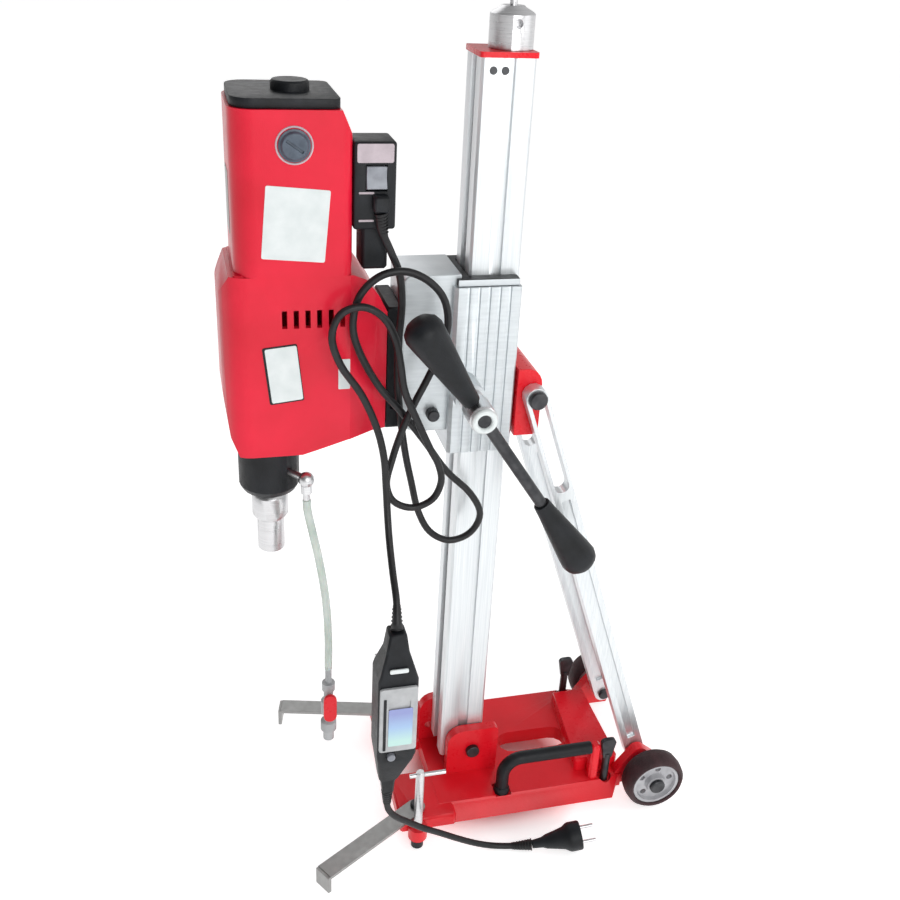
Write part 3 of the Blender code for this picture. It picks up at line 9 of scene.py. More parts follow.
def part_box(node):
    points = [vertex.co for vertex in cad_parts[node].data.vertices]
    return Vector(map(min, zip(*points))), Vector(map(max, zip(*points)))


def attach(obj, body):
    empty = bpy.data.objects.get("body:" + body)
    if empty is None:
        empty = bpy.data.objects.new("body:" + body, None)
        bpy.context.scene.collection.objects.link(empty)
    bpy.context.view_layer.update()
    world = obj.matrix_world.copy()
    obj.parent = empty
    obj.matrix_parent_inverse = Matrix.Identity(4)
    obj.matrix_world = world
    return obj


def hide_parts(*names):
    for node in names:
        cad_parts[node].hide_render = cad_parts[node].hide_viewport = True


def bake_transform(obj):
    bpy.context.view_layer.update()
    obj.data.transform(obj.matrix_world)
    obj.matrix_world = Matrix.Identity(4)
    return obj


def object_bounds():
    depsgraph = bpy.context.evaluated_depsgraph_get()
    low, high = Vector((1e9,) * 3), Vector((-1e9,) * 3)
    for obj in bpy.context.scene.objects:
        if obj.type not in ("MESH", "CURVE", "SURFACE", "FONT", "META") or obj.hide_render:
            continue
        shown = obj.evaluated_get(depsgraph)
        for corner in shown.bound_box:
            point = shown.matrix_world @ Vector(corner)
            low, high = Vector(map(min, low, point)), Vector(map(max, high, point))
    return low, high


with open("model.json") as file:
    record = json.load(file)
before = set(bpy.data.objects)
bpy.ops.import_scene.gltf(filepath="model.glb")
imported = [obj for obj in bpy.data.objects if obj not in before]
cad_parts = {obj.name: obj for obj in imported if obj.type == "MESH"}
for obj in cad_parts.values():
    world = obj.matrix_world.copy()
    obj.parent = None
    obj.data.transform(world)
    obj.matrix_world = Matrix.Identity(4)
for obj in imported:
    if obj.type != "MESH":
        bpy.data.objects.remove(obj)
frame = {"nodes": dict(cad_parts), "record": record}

CAD_BOX = [list(corner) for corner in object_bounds()]

# ---------------------------------------------------------------- camera
# The eye stands about 1.4 m from the rig's middle, on the handle's side, and looks down on it.
# It is rolled a few degrees, and its view is shifted a little sideways.
EYE = (-0.34856, -1.14354, 1.13969)
VIEW_TURN = math.radians(-15.79)
VIEW_DOWN = math.radians(27.5)
VIEW_ROLL = math.radians(3.37)
LENS = 42.91
SENSOR_WIDE = 36
SIDEWAYS_SHIFT = -0.0062
NEAREST_SEEN = 0.05


def linked(name, data):
    """A new object that holds the data, linked to the scene."""
    made = bpy.data.objects.new(name, data)
    bpy.context.scene.collection.objects.link(made)
    return made


backward = Vector(
    (
        math.sin(VIEW_TURN) * math.cos(VIEW_DOWN),
        -math.cos(VIEW_TURN) * math.cos(VIEW_DOWN),
        math.sin(VIEW_DOWN),
    )
)
level = Vector((math.cos(VIEW_TURN), math.sin(VIEW_TURN), 0))
upward = backward.cross(level)
rightward = math.cos(VIEW_ROLL) * level + math.sin(VIEW_ROLL) * upward
topward = -math.sin(VIEW_ROLL) * level + math.cos(VIEW_ROLL) * upward
camera_data = bpy.data.cameras.new("studio_camera")
camera_data.lens = LENS
camera_data.sensor_width = SENSOR_WIDE
camera_data.shift_x = SIDEWAYS_SHIFT
camera_data.clip_start = NEAREST_SEEN
camera = linked("studio_camera", camera_data)
turn = Matrix((rightward, topward, backward)).transposed().to_4x4()
camera.matrix_world = Matrix.Translation(EYE) @ turn
bpy.context.scene.camera = camera

# ---------------------------------------------------------------- studio
# A white floor that glows a little, with a painted dark red shadow under the casting, and three
# large soft lamps.
# The air looks white to the eye, but lights the motor's side less, so faces there are in shade.
FLOOR = CAD_BOX[0][2]
FLOOR_WIDE = 30
FLOOR_DROP = 0.0005  # the white floor lies this far under the feet
CASTING_MIDDLE = (0.05, 0, 0)
GLOW_STARTS = 0.10  # distances from the casting's middle
GLOW_IS_FULL = 0.15
FLOOR_GLOW = 0.62
AIR_DARKEST = 0.12
AIR_BRIGHTEST = 0.78
LAMPS_AIM = Vector((0, 0, 0.45))


class Value:
    """An output of a material's node. A sum or product on it adds a Math node to the material."""

    def __init__(self, surface, socket):
        self.surface = surface
        self.socket = socket

    def combined(self, operation, other):
        return self.surface.node("ShaderNodeMath", {"operation": operation}, {0: self, 1: other})

    def __add__(self, other):
        return self.combined("ADD", other)

    def __mul__(self, other):
        return self.combined("MULTIPLY", other)


class Surface:
    """A material on Object coordinates: its shader, and one method that adds any node."""

    def __init__(self, name, **shader_values):
        self.material = bpy.data.materials.new(name)
        self.material.use_nodes = True
        self.tree = self.material.node_tree
        self.shader = self.tree.nodes["Principled BSDF"]
        for key, value in shader_values.items():
            socket = key.replace("_", " ").title().replace("Ior", "IOR")
            self.shader.inputs[socket].default_value = value
        self.place = self.node("ShaderNodeTexCoord", output="Object")

    def node(self, kind, settings=None, sockets=None, output=0):
        made = self.tree.nodes.new(kind)
        for key, value in (settings or {}).items():
            if key == "stops":
                ramp = made.color_ramp.elements
                while len(ramp) < len(value):
                    ramp.new(1.0)
                for stop, (position, colour) in zip(ramp, value):
                    stop.position = position
                    stop.color = (*colour, 1)
            else:
                setattr(made, key, value)
        for key, value in (sockets or {}).items():
            if isinstance(value, Value):
                self.tree.links.new(value.socket, made.inputs[key])
            else:
                made.inputs[key].default_value = value
        return Value(self, made.outputs[output])

    def stretched(self, scale):
        return self.node("ShaderNodeMapping", None, {"Vector": self.place, "Scale": scale})

    def noise(self, scale, detail=4.0, place=None):
        wanted = {"Vector": place or self.place, "Scale": scale, "Detail": detail}
        return self.node("ShaderNodeTexNoise", None, wanted)

    def cells(self, scale):
        return self.node("ShaderNodeTexVoronoi", None, {"Vector": self.place, "Scale": scale})

    def ramp(self, value, *stops):
        return self.node("ShaderNodeValToRGB", {"stops": stops}, {"Fac": value})

    def height(self):
        return self.node("ShaderNodeSeparateXYZ", None, {0: self.place}, output="Z")

    def band(self, value, low, high):
        wanted = {"Value": value, "From Min": low, "From Max": high}
        return self.node("ShaderNodeMapRange", {"clamp": True}, wanted)

    def blended(self, amount, first, second):
        wanted = {0: amount}
        for key, colour in ((6, first), (7, second)):
            wanted[key] = colour if isinstance(colour, Value) else (*colour, 1)
        return self.node("ShaderNodeMix", {"data_type": "RGBA"}, wanted, output=2)

    def wear(self, name, value):
        self.tree.links.new(value.socket, self.shader.inputs[name])

    def tint(self, value, *stops):
        self.wear("Base Color", self.ramp(value, *stops))

    def bumps(self, height, depth, strength):
        wanted = {"Height": height, "Distance": depth, "Strength": strength}
        self.wear("Normal", self.node("ShaderNodeBump", None, wanted))


floor_surface = Surface(
    "studio_floor", base_color=(0.86, 0.86, 0.86, 1), roughness=0.6, emission_strength=FLOOR_GLOW
)
from_casting = floor_surface.node(
    "ShaderNodeVectorMath", {"operation": "DISTANCE"}, {0: floor_surface.place, 1: CASTING_MIDDLE},
    output="Value",
)
# Painted shadow: close to the casting the floor's glow fades to dark red instead of white.
clear_of_painted_shadow = floor_surface.band(from_casting, GLOW_STARTS, GLOW_IS_FULL)
glow_and_painted_shadow = floor_surface.ramp(clear_of_painted_shadow, (0.0, (0.1, 0.02, 0.02)), (1.0, (1, 1, 1)))
floor_surface.wear("Emission Color", glow_and_painted_shadow)
bpy.ops.mesh.primitive_plane_add(size=FLOOR_WIDE, location=(0, 0, FLOOR - FLOOR_DROP))
studio_floor = bpy.context.object
studio_floor.name = "studio_floor"
studio_floor.data.materials.append(floor_surface.material)

world = bpy.data.worlds.new("studio_air")
world.use_nodes = True
sky = world.node_tree.nodes["Background"]
sky.inputs["Color"].default_value = (1, 1, 1, 1)
seen = world.node_tree.nodes.new("ShaderNodeLightPath")
brighter = world.node_tree.nodes.new("ShaderNodeMath")
brighter.operation = "MULTIPLY_ADD"
brighter.inputs[1].default_value = 1.0
looking = world.node_tree.nodes.new("ShaderNodeTexCoord")
along = world.node_tree.nodes.new("ShaderNodeSeparateXYZ")
shade = world.node_tree.nodes.new("ShaderNodeMapRange")
shade_limits = {"From Min": -1, "From Max": 1, "To Min": AIR_DARKEST, "To Max": AIR_BRIGHTEST}
for socket, value in shade_limits.items():
    shade.inputs[socket].default_value = value
world.node_tree.links.new(looking.outputs["Generated"], along.inputs[0])
world.node_tree.links.new(along.outputs["X"], shade.inputs["Value"])
world.node_tree.links.new(seen.outputs["Is Camera Ray"], brighter.inputs[0])
world.node_tree.links.new(shade.outputs["Result"], brighter.inputs[2])
world.node_tree.links.new(brighter.outputs[0], sky.inputs["Strength"])
bpy.context.scene.world = world
bpy.context.scene.view_settings.view_transform = "Standard"
LAMPS = (  # name, place, size and watts
    ("key_lamp", (0.2, -2.3, 1.4), 1.5, 25),
    ("side_lamp", (1.9, -0.9, 1.4), 1.2, 7),
    ("back_lamp", (-0.4, 1.9, 2.0), 1.6, 9),
)
for lamp_name, lamp_place, lamp_size, lamp_power in LAMPS:
    lamp_data = bpy.data.lights.new(lamp_name, "AREA")
    lamp_data.size = lamp_size
    lamp_data.energy = lamp_power
    lamp = linked(lamp_name, lamp_data)
    lamp.location = lamp_place
    lamp.rotation_euler = (LAMPS_AIM - Vector(lamp_place)).to_track_quat("-Z", "Y").to_euler()

# ---------------------------------------------------------------- lead, breaker lead and hose
# Rubber mains lead, looped over the carriage, down to the in-line breaker and on to the plug.
# A clear plastic hose feeds water from the valve to the nipple on the spindle's collar.
# The routes' heights are above the floor, and so is the height of the column's pivot.
TILT_HEIGHT = 0.080
pivot = next(j for j in frame["record"]["behaviour"]["joints"] if j["name"] == "column_tilt")
RISE = pivot["pos_m"][2] - TILT_HEIGHT
LEAD_THICK = 0.0084
HOSE_THICK = 0.010
CAPS_MERGE = 0.00001
RIMS_SHARP = math.radians(50)
LEAD_ROUTE = (
    (-0.1380, -0.0620, 0.8570), (-0.1360, -0.0620, 0.8380), (-0.1260, -0.0610, 0.8150),
    (-0.1160, -0.0600, 0.7900), (-0.1120, -0.0580, 0.7550), (-0.1140, -0.0570, 0.7120),
    (-0.1140, -0.0570, 0.6640), (-0.1090, -0.0570, 0.6140), (-0.1020, -0.0570, 0.5690),
    (-0.0940, -0.0570, 0.5320), (-0.0840, -0.0570, 0.4900), (-0.0680, -0.0575, 0.4590),
    (-0.0430, -0.0590, 0.4450), (-0.0175, -0.0610, 0.4550), (-0.0075, -0.0640, 0.4830),
    (-0.0230, -0.0660, 0.5150), (-0.0540, -0.0665, 0.5480), (-0.0810, -0.0670, 0.5880),
    (-0.1090, -0.0670, 0.6270), (-0.1380, -0.0680, 0.6640), (-0.1600, -0.0700, 0.7060),
    (-0.1680, -0.0720, 0.7380), (-0.1620, -0.0740, 0.7710), (-0.1420, -0.0760, 0.7930),
    (-0.1160, -0.0770, 0.7990), (-0.0900, -0.0770, 0.7890), (-0.0700, -0.0770, 0.7670),
    (-0.0640, -0.0770, 0.7360), (-0.0720, -0.0770, 0.7030), (-0.0850, -0.0770, 0.6720),
    (-0.1000, -0.0770, 0.6400), (-0.1130, -0.0770, 0.6060), (-0.1220, -0.0770, 0.5740),
    (-0.1280, -0.0780, 0.5430), (-0.1190, -0.0788, 0.5190), (-0.0960, -0.0796, 0.5090),
    (-0.0730, -0.0808, 0.5190), (-0.0640, -0.0830, 0.5430), (-0.0690, -0.0860, 0.5680),
    (-0.0810, -0.0880, 0.5920), (-0.0980, -0.0880, 0.6300), (-0.1120, -0.0880, 0.6640),
    (-0.1180, -0.0880, 0.6980), (-0.1240, -0.0876, 0.7260), (-0.1370, -0.0870, 0.7510),
    (-0.1590, -0.0860, 0.7640), (-0.1830, -0.0852, 0.7570), (-0.1925, -0.0842, 0.7310),
    (-0.1830, -0.0840, 0.6980), (-0.1600, -0.0850, 0.6620), (-0.1430, -0.0870, 0.6220),
    (-0.1340, -0.0880, 0.5840), (-0.1310, -0.0900, 0.5460), (-0.1300, -0.0960, 0.5160),
    (-0.1300, -0.1120, 0.4860), (-0.1300, -0.1360, 0.4580), (-0.1300, -0.1600, 0.4360),
    (-0.1310, -0.1705, 0.4160), (-0.1310, -0.1720, 0.4055), (-0.1315, -0.1720, 0.3600),
    (-0.1330, -0.1720, 0.2900), (-0.1360, -0.1720, 0.2150), (-0.1370, -0.1720, 0.1574),
)
BREAKER_MOUTH = 0.4055  # above the floor: below it the lead runs on inside the breaker
BREAKER_LEAD_ROUTE = (
    (-0.137, -0.172, 0.1574), (-0.137, -0.172, 0.1400), (-0.134, -0.171, 0.1220),
    (-0.124, -0.170, 0.1060), (-0.107, -0.167, 0.0900), (-0.085, -0.164, 0.0710),
    (-0.061, -0.159, 0.0520), (-0.035, -0.156, 0.0330), (-0.008, -0.154, 0.0160),
    (0.018, -0.154, 0.0055), (0.045, -0.1600, 0.0056), (0.0678, -0.16586, 0.00958),
)
HOSE_ROUTE = (
    (-0.2175, -0.0500, 0.5140), (-0.2165, -0.0505, 0.4980), (-0.2110, -0.0515, 0.4680),
    (-0.2030, -0.0525, 0.4240), (-0.1960, -0.0530, 0.3700), (-0.1930, -0.0530, 0.3150),
    (-0.1930, -0.0530, 0.2620),
)


def fine_path(route, steps):
    """Points along a Catmull-Rom curve through the route, lowered into the frame."""
    knots = [Vector(point) + Vector((0, 0, RISE)) for point in route]
    ends = [2 * knots[0] - knots[1], *knots, 2 * knots[-1] - knots[-2]]
    path = []
    for before, start, end, after in zip(ends, ends[1:], ends[2:], ends[3:]):
        for step in range(steps):
            t = step / steps
            bend = 2 * before - 5 * start + 4 * end - after
            last = 3 * start - before - 3 * end + after
            path.append(0.5 * (2 * start + (end - before) * t + bend * t**2 + last * t**3))
    return [*path, knots[-1]]


def evaluated_mesh(holder):
    """A plain mesh of what the object evaluates to. The object itself is removed."""
    graph = bpy.context.evaluated_depsgraph_get()
    mesh = bpy.data.meshes.new_from_object(holder.evaluated_get(graph))
    bpy.data.objects.remove(holder)
    return mesh


def lay_cord(name, route, thick, material, steps):
    """A tube along the route, with steps points to each leg: its object, path and length."""
    path = fine_path(route, steps)
    data = bpy.data.curves.new(name, "CURVE")
    data.dimensions = "3D"
    data.bevel_depth = thick / 2
    data.bevel_resolution = 5
    data.use_fill_caps = True
    spline = data.splines.new("POLY")
    spline.points.add(len(path) - 1)
    for point, place in zip(spline.points, path):
        point.co = (*place, 1)
    spline.use_smooth = True
    data.materials.append(material)
    tube = evaluated_mesh(linked(f"{name}_line", data))
    work = bmesh.new()
    work.from_mesh(tube)
    bmesh.ops.remove_doubles(work, verts=work.verts, dist=CAPS_MERGE)
    work.to_mesh(tube)
    work.free()
    tube.shade_smooth()
    tube.set_sharp_from_angle(angle=RIMS_SHARP)
    long = sum((two - one).length for one, two in zip(path, path[1:]))
    return linked(name, tube), path, long


rubber = Surface("lead_rubber", roughness=0.42, specular_ior_level=0.4)
rubber.tint(rubber.noise(55, 6), (0.35, (0.003, 0.003, 0.004)), (0.75, (0.013, 0.013, 0.015)))
rubber.wear("Roughness", rubber.band(rubber.noise(160), 0.2, 0.9) * 0.25 + 0.32)
rubber.bumps(rubber.noise(900, 2), 0.0003, 0.5)

hose_surface = Surface(
    "hose_plastic", roughness=0.22, coat_weight=0.4, transmission_weight=0.35, subsurface_weight=0.1
)
milky = hose_surface.noise(34, 3)
hose_surface.tint(milky, (0.3, (0.52, 0.62, 0.56)), (0.7, (0.74, 0.8, 0.76)))
hose_surface.bumps(hose_surface.noise(260, 2), 0.0002, 0.4)

lead, lead_path, lead_long = lay_cord(
    "mains_lead", LEAD_ROUTE, LEAD_THICK, rubber.material, steps=5
)
breaker_lead, breaker_path, breaker_long = lay_cord(
    "breaker_lead", BREAKER_LEAD_ROUTE, LEAD_THICK, rubber.material, steps=8
)
hose, hose_path, hose_long = lay_cord(
    "water_tube", HOSE_ROUTE, HOSE_THICK, hose_surface.material, steps=10
)

# The loops hang on the carriage and the mouth is at the column. The lead is baked where it is laid
# and follows neither.
FOLLOWS_CARRIAGE = Vector((-0.020, -0.060, 0.700 + RISE))
FOLLOWS_COLUMN = Vector((-0.131, -0.172, BREAKER_MOUTH + RISE))
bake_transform(lead)
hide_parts("power_cord")
# The breaker leans with the column, while its lead stays where it is laid; the rest of it lies on
# the floor.
LIES_FROM = Vector((-0.035, -0.156, 0.033 + RISE))
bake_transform(breaker_lead)
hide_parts("supply_cord")
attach(hose, "carriage")
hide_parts("water_hose")

# ---------------------------------------------------------------- casting
# The foot is one casting, fettled and sprayed glossy red. Its skin keeps the sand's grain.
# The braces' bracket, the column's cap and the valve's lever share its enamel.
SOLID_MERGE = 0.00002
FLAT_UNDER = math.radians(0.6)
SMOOTH_UNDER = math.radians(38)


def refined(node, surface, round_edge, other=None, other_where=None):
    """The CAD solid again, merged, with its edges broken and its round faces smooth.

    Faces whose centre other_where accepts take the other surface.
    """
    source = frame["nodes"][node]
    mesh = source.data.copy()
    mesh.name = f"fine_{node}"
    mesh.transform(source.matrix_world)
    work = bmesh.new()
    work.from_mesh(mesh)
    bmesh.ops.remove_doubles(work, verts=work.verts, dist=SOLID_MERGE)
    bmesh.ops.dissolve_limit(
        work, angle_limit=FLAT_UNDER, verts=work.verts, edges=work.edges, delimit=set()
    )
    work.to_mesh(mesh)
    work.free()
    mesh.materials.clear()
    mesh.materials.append(surface.material)
    if other:
        mesh.materials.append(other.material)
        for face in mesh.polygons:
            face.material_index = int(other_where(face.center))
    mesh.shade_smooth()
    mesh.set_sharp_from_angle(angle=SMOOTH_UNDER)
    made = linked(f"fine_{node}", mesh)
    edge = made.modifiers.new("broken_edges", "BEVEL")
    edge.width = round_edge
    edge.segments = 2
    edge.limit_method = "ANGLE"
    edge.angle_limit = SMOOTH_UNDER
    edge.use_clamp_overlap = True
    edge.harden_normals = True
    bodies = frame["record"]["behaviour"]["bodies"]
    body = next(name for name, nodes in bodies.items() if node in nodes)
    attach(made, body)
    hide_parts(node)
    return made


casting_red = Surface(
    "cast_red_enamel", roughness=0.28, coat_weight=0.2, coat_roughness=0.18, specular_ior_level=0.25
)
orange_peel = casting_red.noise(140, 5)
runs = casting_red.noise(9, 3)
dust = casting_red.band(casting_red.height(), 0.03, -0.004) * casting_red.noise(60, 6)
fresh = casting_red.ramp(runs, (0.3, (0.66, 0.006, 0.014)), (0.7, (0.84, 0.009, 0.022)))
casting_red.wear("Base Color", casting_red.blended(dust * 0.2, fresh, (0.34, 0.06, 0.05)))
casting_red.wear("Roughness", orange_peel * 0.18 + 0.2 + dust * 0.3)
casting_red.bumps(orange_peel + casting_red.cells(420) * 0.4, 0.0005, 0.4)
for node in ("base_casting", "brace_bracket", "column_cap", "valve_lever"):
    refined(node, casting_red, round_edge=0.0008)

# ---------------------------------------------------------------- black mouldings
# Handles, switch, caps and the breaker's case are moulded from black glass-filled nylon.
# So is the block between motor and carriage, and all have a leathery grain.
nylon = Surface("black_nylon", roughness=0.45, specular_ior_level=0.3)
nylon.tint(nylon.noise(38, 5), (0.3, (0.003, 0.004, 0.005)), (0.75, (0.012, 0.014, 0.018)))
nylon.wear("Roughness", nylon.noise(120) * 0.25 + 0.33)
nylon.bumps(nylon.cells(900), 0.0003, 0.5)
for node in (
    "carry_handle", "motor_mount_block", "handle_grip_upper", "handle_grip_lower",
    "motor_end_cap", "spindle_collar", "switch_box", "breaker_case",
):
    refined(node, nylon, round_edge=0.001)

# ---------------------------------------------------------------- blackened and bright steel
# Pins, screws, axles and the feed bar are blackened. Shafts, rack and jack are turned and left
# bright.
black_steel = Surface("blackened_steel", metallic=0.85, roughness=0.4)
stained = black_steel.noise(80, 5)
black_steel.tint(stained, (0.3, (0.04, 0.041, 0.045)), (0.75, (0.085, 0.086, 0.09)))
black_steel.wear("Roughness", black_steel.noise(200) * 0.3 + 0.25)
black_steel.bumps(black_steel.noise(500, 2), 0.0002, 0.4)
turned_steel = Surface("turned_steel", metallic=1.0, roughness=0.3)
turning = turned_steel.noise(30, 6, turned_steel.stretched((1, 1, 60)))
turned_steel.tint(turning, (0.3, (0.58, 0.58, 0.59)), (0.7, (0.74, 0.74, 0.75)))
turned_steel.wear("Roughness", turning * 0.25 + 0.18)
turned_steel.bumps(turning, 0.0002, 0.5)
for node in (
    "column_pivot_pin", "wheel_axle_left", "wheel_axle_right", "brace_pin_left", "brace_pin_right",
    "strip_bolt_left", "strip_bolt_right", "levelling_screw_rear_left",
    "levelling_screw_rear_right", "column_foot", "brace_cross_bolt", "carriage_lock_screw",
    "feed_bar",
):
    refined(node, black_steel, round_edge=0.0005)
for node in (
    "feed_rack", "jack_body", "jack_screw", "pinion_shaft", "pinion_bush", "motor_armature",
    "drive_gear", "spindle", "water_nipple",
):
    refined(node, turned_steel, round_edge=0.0003)

# ---------------------------------------------------------------- levelling screws and plug
# The front screws are bright, with black pads under the casting. The plug is black, with
# nickelled pins.
PLUG_PINS_LONG = 0.019
for side in ("left", "right"):
    refined(
        f"levelling_screw_front_{side}", turned_steel, round_edge=0.0003, other=nylon,
        other_where=lambda centre: centre.z < 0,
    )
pins_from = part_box("plug")[1][0] - PLUG_PINS_LONG
refined(
    "plug", nylon, round_edge=0.0005, other=turned_steel,
    other_where=lambda centre: centre.x > pins_from,
)

# ---------------------------------------------------------------- column, braces and carriage
# The column and braces are drawn alloy, clear anodised. The carriage is milled from alloy plate,
# and so is the strip that holds the black wiper on the near side.
WIPER_STRIP_THICK = 0.001
drawn_alloy = Surface("drawn_alloy", metallic=0.75, roughness=0.36)
draw_lines = drawn_alloy.noise(26, 6, drawn_alloy.stretched((22, 22, 0.35)))
cloudy = drawn_alloy.noise(7, 3)
pale = drawn_alloy.ramp(draw_lines, (0.3, (0.66, 0.70, 0.72)), (0.7, (0.80, 0.83, 0.84)))
drawn_alloy.wear("Base Color", drawn_alloy.blended(cloudy * 0.25, pale, (0.7, 0.72, 0.75)))
drawn_alloy.wear("Roughness", draw_lines * 0.22 + 0.24)
drawn_alloy.bumps(draw_lines, 0.0002, 0.6)
for node in ("column_extrusion", "brace_left", "brace_right"):
    refined(node, drawn_alloy, round_edge=0.0006)
milled_alloy = Surface("milled_alloy", metallic=0.7, roughness=0.42)
mill_marks = milled_alloy.noise(34, 5, milled_alloy.stretched((1, 1, 9)))
milled_alloy.tint(mill_marks, (0.3, (0.58, 0.62, 0.64)), (0.7, (0.66, 0.70, 0.72)))
milled_alloy.wear("Roughness", milled_alloy.noise(90) * 0.2 + 0.3)
milled_alloy.bumps(mill_marks + milled_alloy.cells(600) * 0.3, 0.0002, 0.5)
refined("carriage", milled_alloy, round_edge=0.0012)
wiper_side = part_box("column_wiper")[0][1] + WIPER_STRIP_THICK
refined(
    "column_wiper", nylon, round_edge=0.001, other=milled_alloy,
    other_where=lambda centre: centre.y < wiper_side,
)

# ---------------------------------------------------------------- grey mouldings and guide strips
# Slide pads, rocker and breaker's button are grey acetal, and the valve and breaker's cover a
# lighter one. The guide strips are zinc-plated flat bar.


def moulded(name, mottle, stops, polish, grain, dull=0.3, **shader_values):
    """A moulded plastic: mottled between two colours, unevenly polished and finely grained.

    mottle is a noise's scale and detail, and polish and grain are scales.
    """
    plastic = Surface(name, **shader_values)
    plastic.tint(plastic.noise(*mottle), *stops)
    plastic.wear("Roughness", plastic.noise(polish) * 0.2 + dull)
    plastic.bumps(plastic.cells(grain), 0.0002, 0.4)
    return plastic


acetal = moulded(
    "grey_acetal", mottle=(70, 5), stops=((0.3, (0.2, 0.21, 0.24)), (0.75, (0.34, 0.36, 0.4))),
    polish=180, grain=1000, dull=0.35, roughness=0.45,
)
for node in ("slide_pad_left", "slide_pad_right", "switch_rocker", "breaker_button"):
    refined(node, acetal, round_edge=0.0004)
light_acetal = moulded(
    "light_acetal", mottle=(60, 5), stops=((0.3, (0.36, 0.37, 0.38)), (0.75, (0.50, 0.51, 0.52))),
    polish=160, grain=900, roughness=0.4, specular_ior_level=0.4,
)
for node in ("water_valve", "breaker_cover"):
    refined(node, light_acetal, round_edge=0.0006)
zinc = Surface("zinc_plate", metallic=0.8, roughness=0.38)
spangle = zinc.noise(120, 3)
zinc.tint(spangle, (0.1, (0.34, 0.34, 0.335)), (0.7, (0.31, 0.31, 0.305)))
zinc.wear("Roughness", spangle * 0.25 + 0.28)
zinc.bumps(zinc.noise(300, 3), 0.0002, 0.4)
for node in ("guide_strip_left", "guide_strip_right"):
    refined(node, zinc, round_edge=0.0005)

# ---------------------------------------------------------------- wheels
# A maroon-black solid rubber tyre is pressed on a grey moulded hub. Both are broken at the edges
# and finely grained.
tyre_rubber = Surface("tyre_rubber", roughness=0.7)
scuffed = tyre_rubber.noise(60, 6)
tyre_rubber.tint(scuffed, (0.3, (0.022, 0.006, 0.008)), (0.8, (0.055, 0.016, 0.02)))
tyre_rubber.wear("Roughness", tyre_rubber.noise(130) * 0.3 + 0.5)
tyre_rubber.bumps(tyre_rubber.cells(500) + tyre_rubber.noise(90, 4), 0.0006, 0.6)
hub_grey = moulded(
    "hub_nylon", mottle=(50, 4), stops=((0.3, (0.36, 0.36, 0.38)), (0.7, (0.52, 0.52, 0.54))),
    polish=150, grain=700, roughness=0.4,
)
for side in ("left", "right"):
    refined(f"tyre_{side}", tyre_rubber, round_edge=0.0012)
    refined(f"wheel_hub_{side}", hub_grey, round_edge=0.0006)

# ---------------------------------------------------------------- drill housings
# The motor's cover is moulded and the gearbox's is cast alloy. Both are glossy red and finely
# grained, a little pinker than the casting.
shell_red = Surface("moulded_red", roughness=0.34, coat_weight=0.12, specular_ior_level=0.25)
flow = shell_red.noise(11, 4)
shell_red.tint(flow, (0.3, (0.62, 0.008, 0.026)), (0.7, (0.78, 0.012, 0.042)))
shell_red.wear("Roughness", shell_red.noise(90, 4) * 0.16 + 0.24)
shell_red.bumps(shell_red.cells(760), 0.0002, 0.35)
for node in ("gearbox_housing", "motor_housing"):
    refined(node, shell_red, round_edge=0.0022)

# ---------------------------------------------------------------- stickers
# Vinyl stickers on the drill: bare white ones on the side, a grey one in front. None is printed.
# The plate that draws them also serves for trim further down.
STICKER_THICK = 0.0004
OFF_FACE = 0.0001  # between a face and the back of what lies on it
CORNER_POINTS = 5


def add_piece(name, mesh, body):
    made = linked(name, mesh)
    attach(made, body)
    return made


def plate(
    name, surface, centre, wide, tall, body,
    facing=(0, -1, 0), lean=0, corner=0.002, thick=STICKER_THICK,
):
    """A thin plate with rounded corners, lying on a face. Its centre is a point on that face."""
    outward = Vector(facing)
    upright = Vector((0, 1, 0)) if outward.z else Vector((0, 0, 1))
    sideways = upright.cross(outward)
    outline = []
    for quarter, (u, v) in enumerate(((1, 1), (-1, 1), (-1, -1), (1, -1))):
        for step in range(CORNER_POINTS):
            angle = math.radians(90 * quarter + 90 / (CORNER_POINTS - 1) * step)
            across = u * (wide / 2 - corner) + corner * math.cos(angle)
            along = v * (tall / 2 - corner) + corner * math.sin(angle)
            outline.append((across, along))
    spin = Matrix.Rotation(math.radians(lean), 2)
    work = bmesh.new()
    rim = [work.verts.new((*(spin @ Vector(point)), 0)) for point in outline]
    face = work.faces.new(rim)
    raised = bmesh.ops.extrude_face_region(work, geom=[face])["geom"]
    moved = [v for v in raised if isinstance(v, bmesh.types.BMVert)]
    bmesh.ops.translate(work, verts=moved, vec=(0, 0, thick))
    place = Matrix((sideways, upright, outward)).transposed().to_4x4()
    place.translation = Vector(centre) + Vector((0, 0, RISE))
    bmesh.ops.transform(work, matrix=place, verts=work.verts)
    bmesh.ops.recalc_face_normals(work, faces=work.faces)
    mesh = bpy.data.meshes.new(name)
    work.to_mesh(mesh)
    work.free()
    mesh.materials.append(surface.material)
    return add_piece(name, mesh, body)


vinyl = Surface("white_vinyl", roughness=0.3, coat_weight=0.3)
handled = vinyl.noise(48, 6)
vinyl.tint(handled, (0.3, (0.62, 0.67, 0.67)), (0.65, (0.72, 0.76, 0.76)))
vinyl.wear("Roughness", handled * 0.3 + 0.2)
vinyl.bumps(vinyl.noise(70, 3), 0.0004, 0.25)
grey_vinyl = Surface("grey_vinyl", roughness=0.35)
faded = grey_vinyl.noise(52, 6)
grey_vinyl.tint(faded, (0.3, (0.36, 0.35, 0.34)), (0.7, (0.5, 0.47, 0.45)))
grey_vinyl.wear("Roughness", faded * 0.25 + 0.25)
grey_vinyl.bumps(grey_vinyl.noise(90, 3), 0.0003, 0.25)
MOTOR_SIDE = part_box("motor_housing")[0][1] - OFF_FACE
MOTOR_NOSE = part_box("motor_housing")[0][0] - OFF_FACE
GEARBOX_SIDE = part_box("gearbox_housing")[0][1] - OFF_FACE
LABEL_HIGH = 0.679
LABEL_LEAN = 6
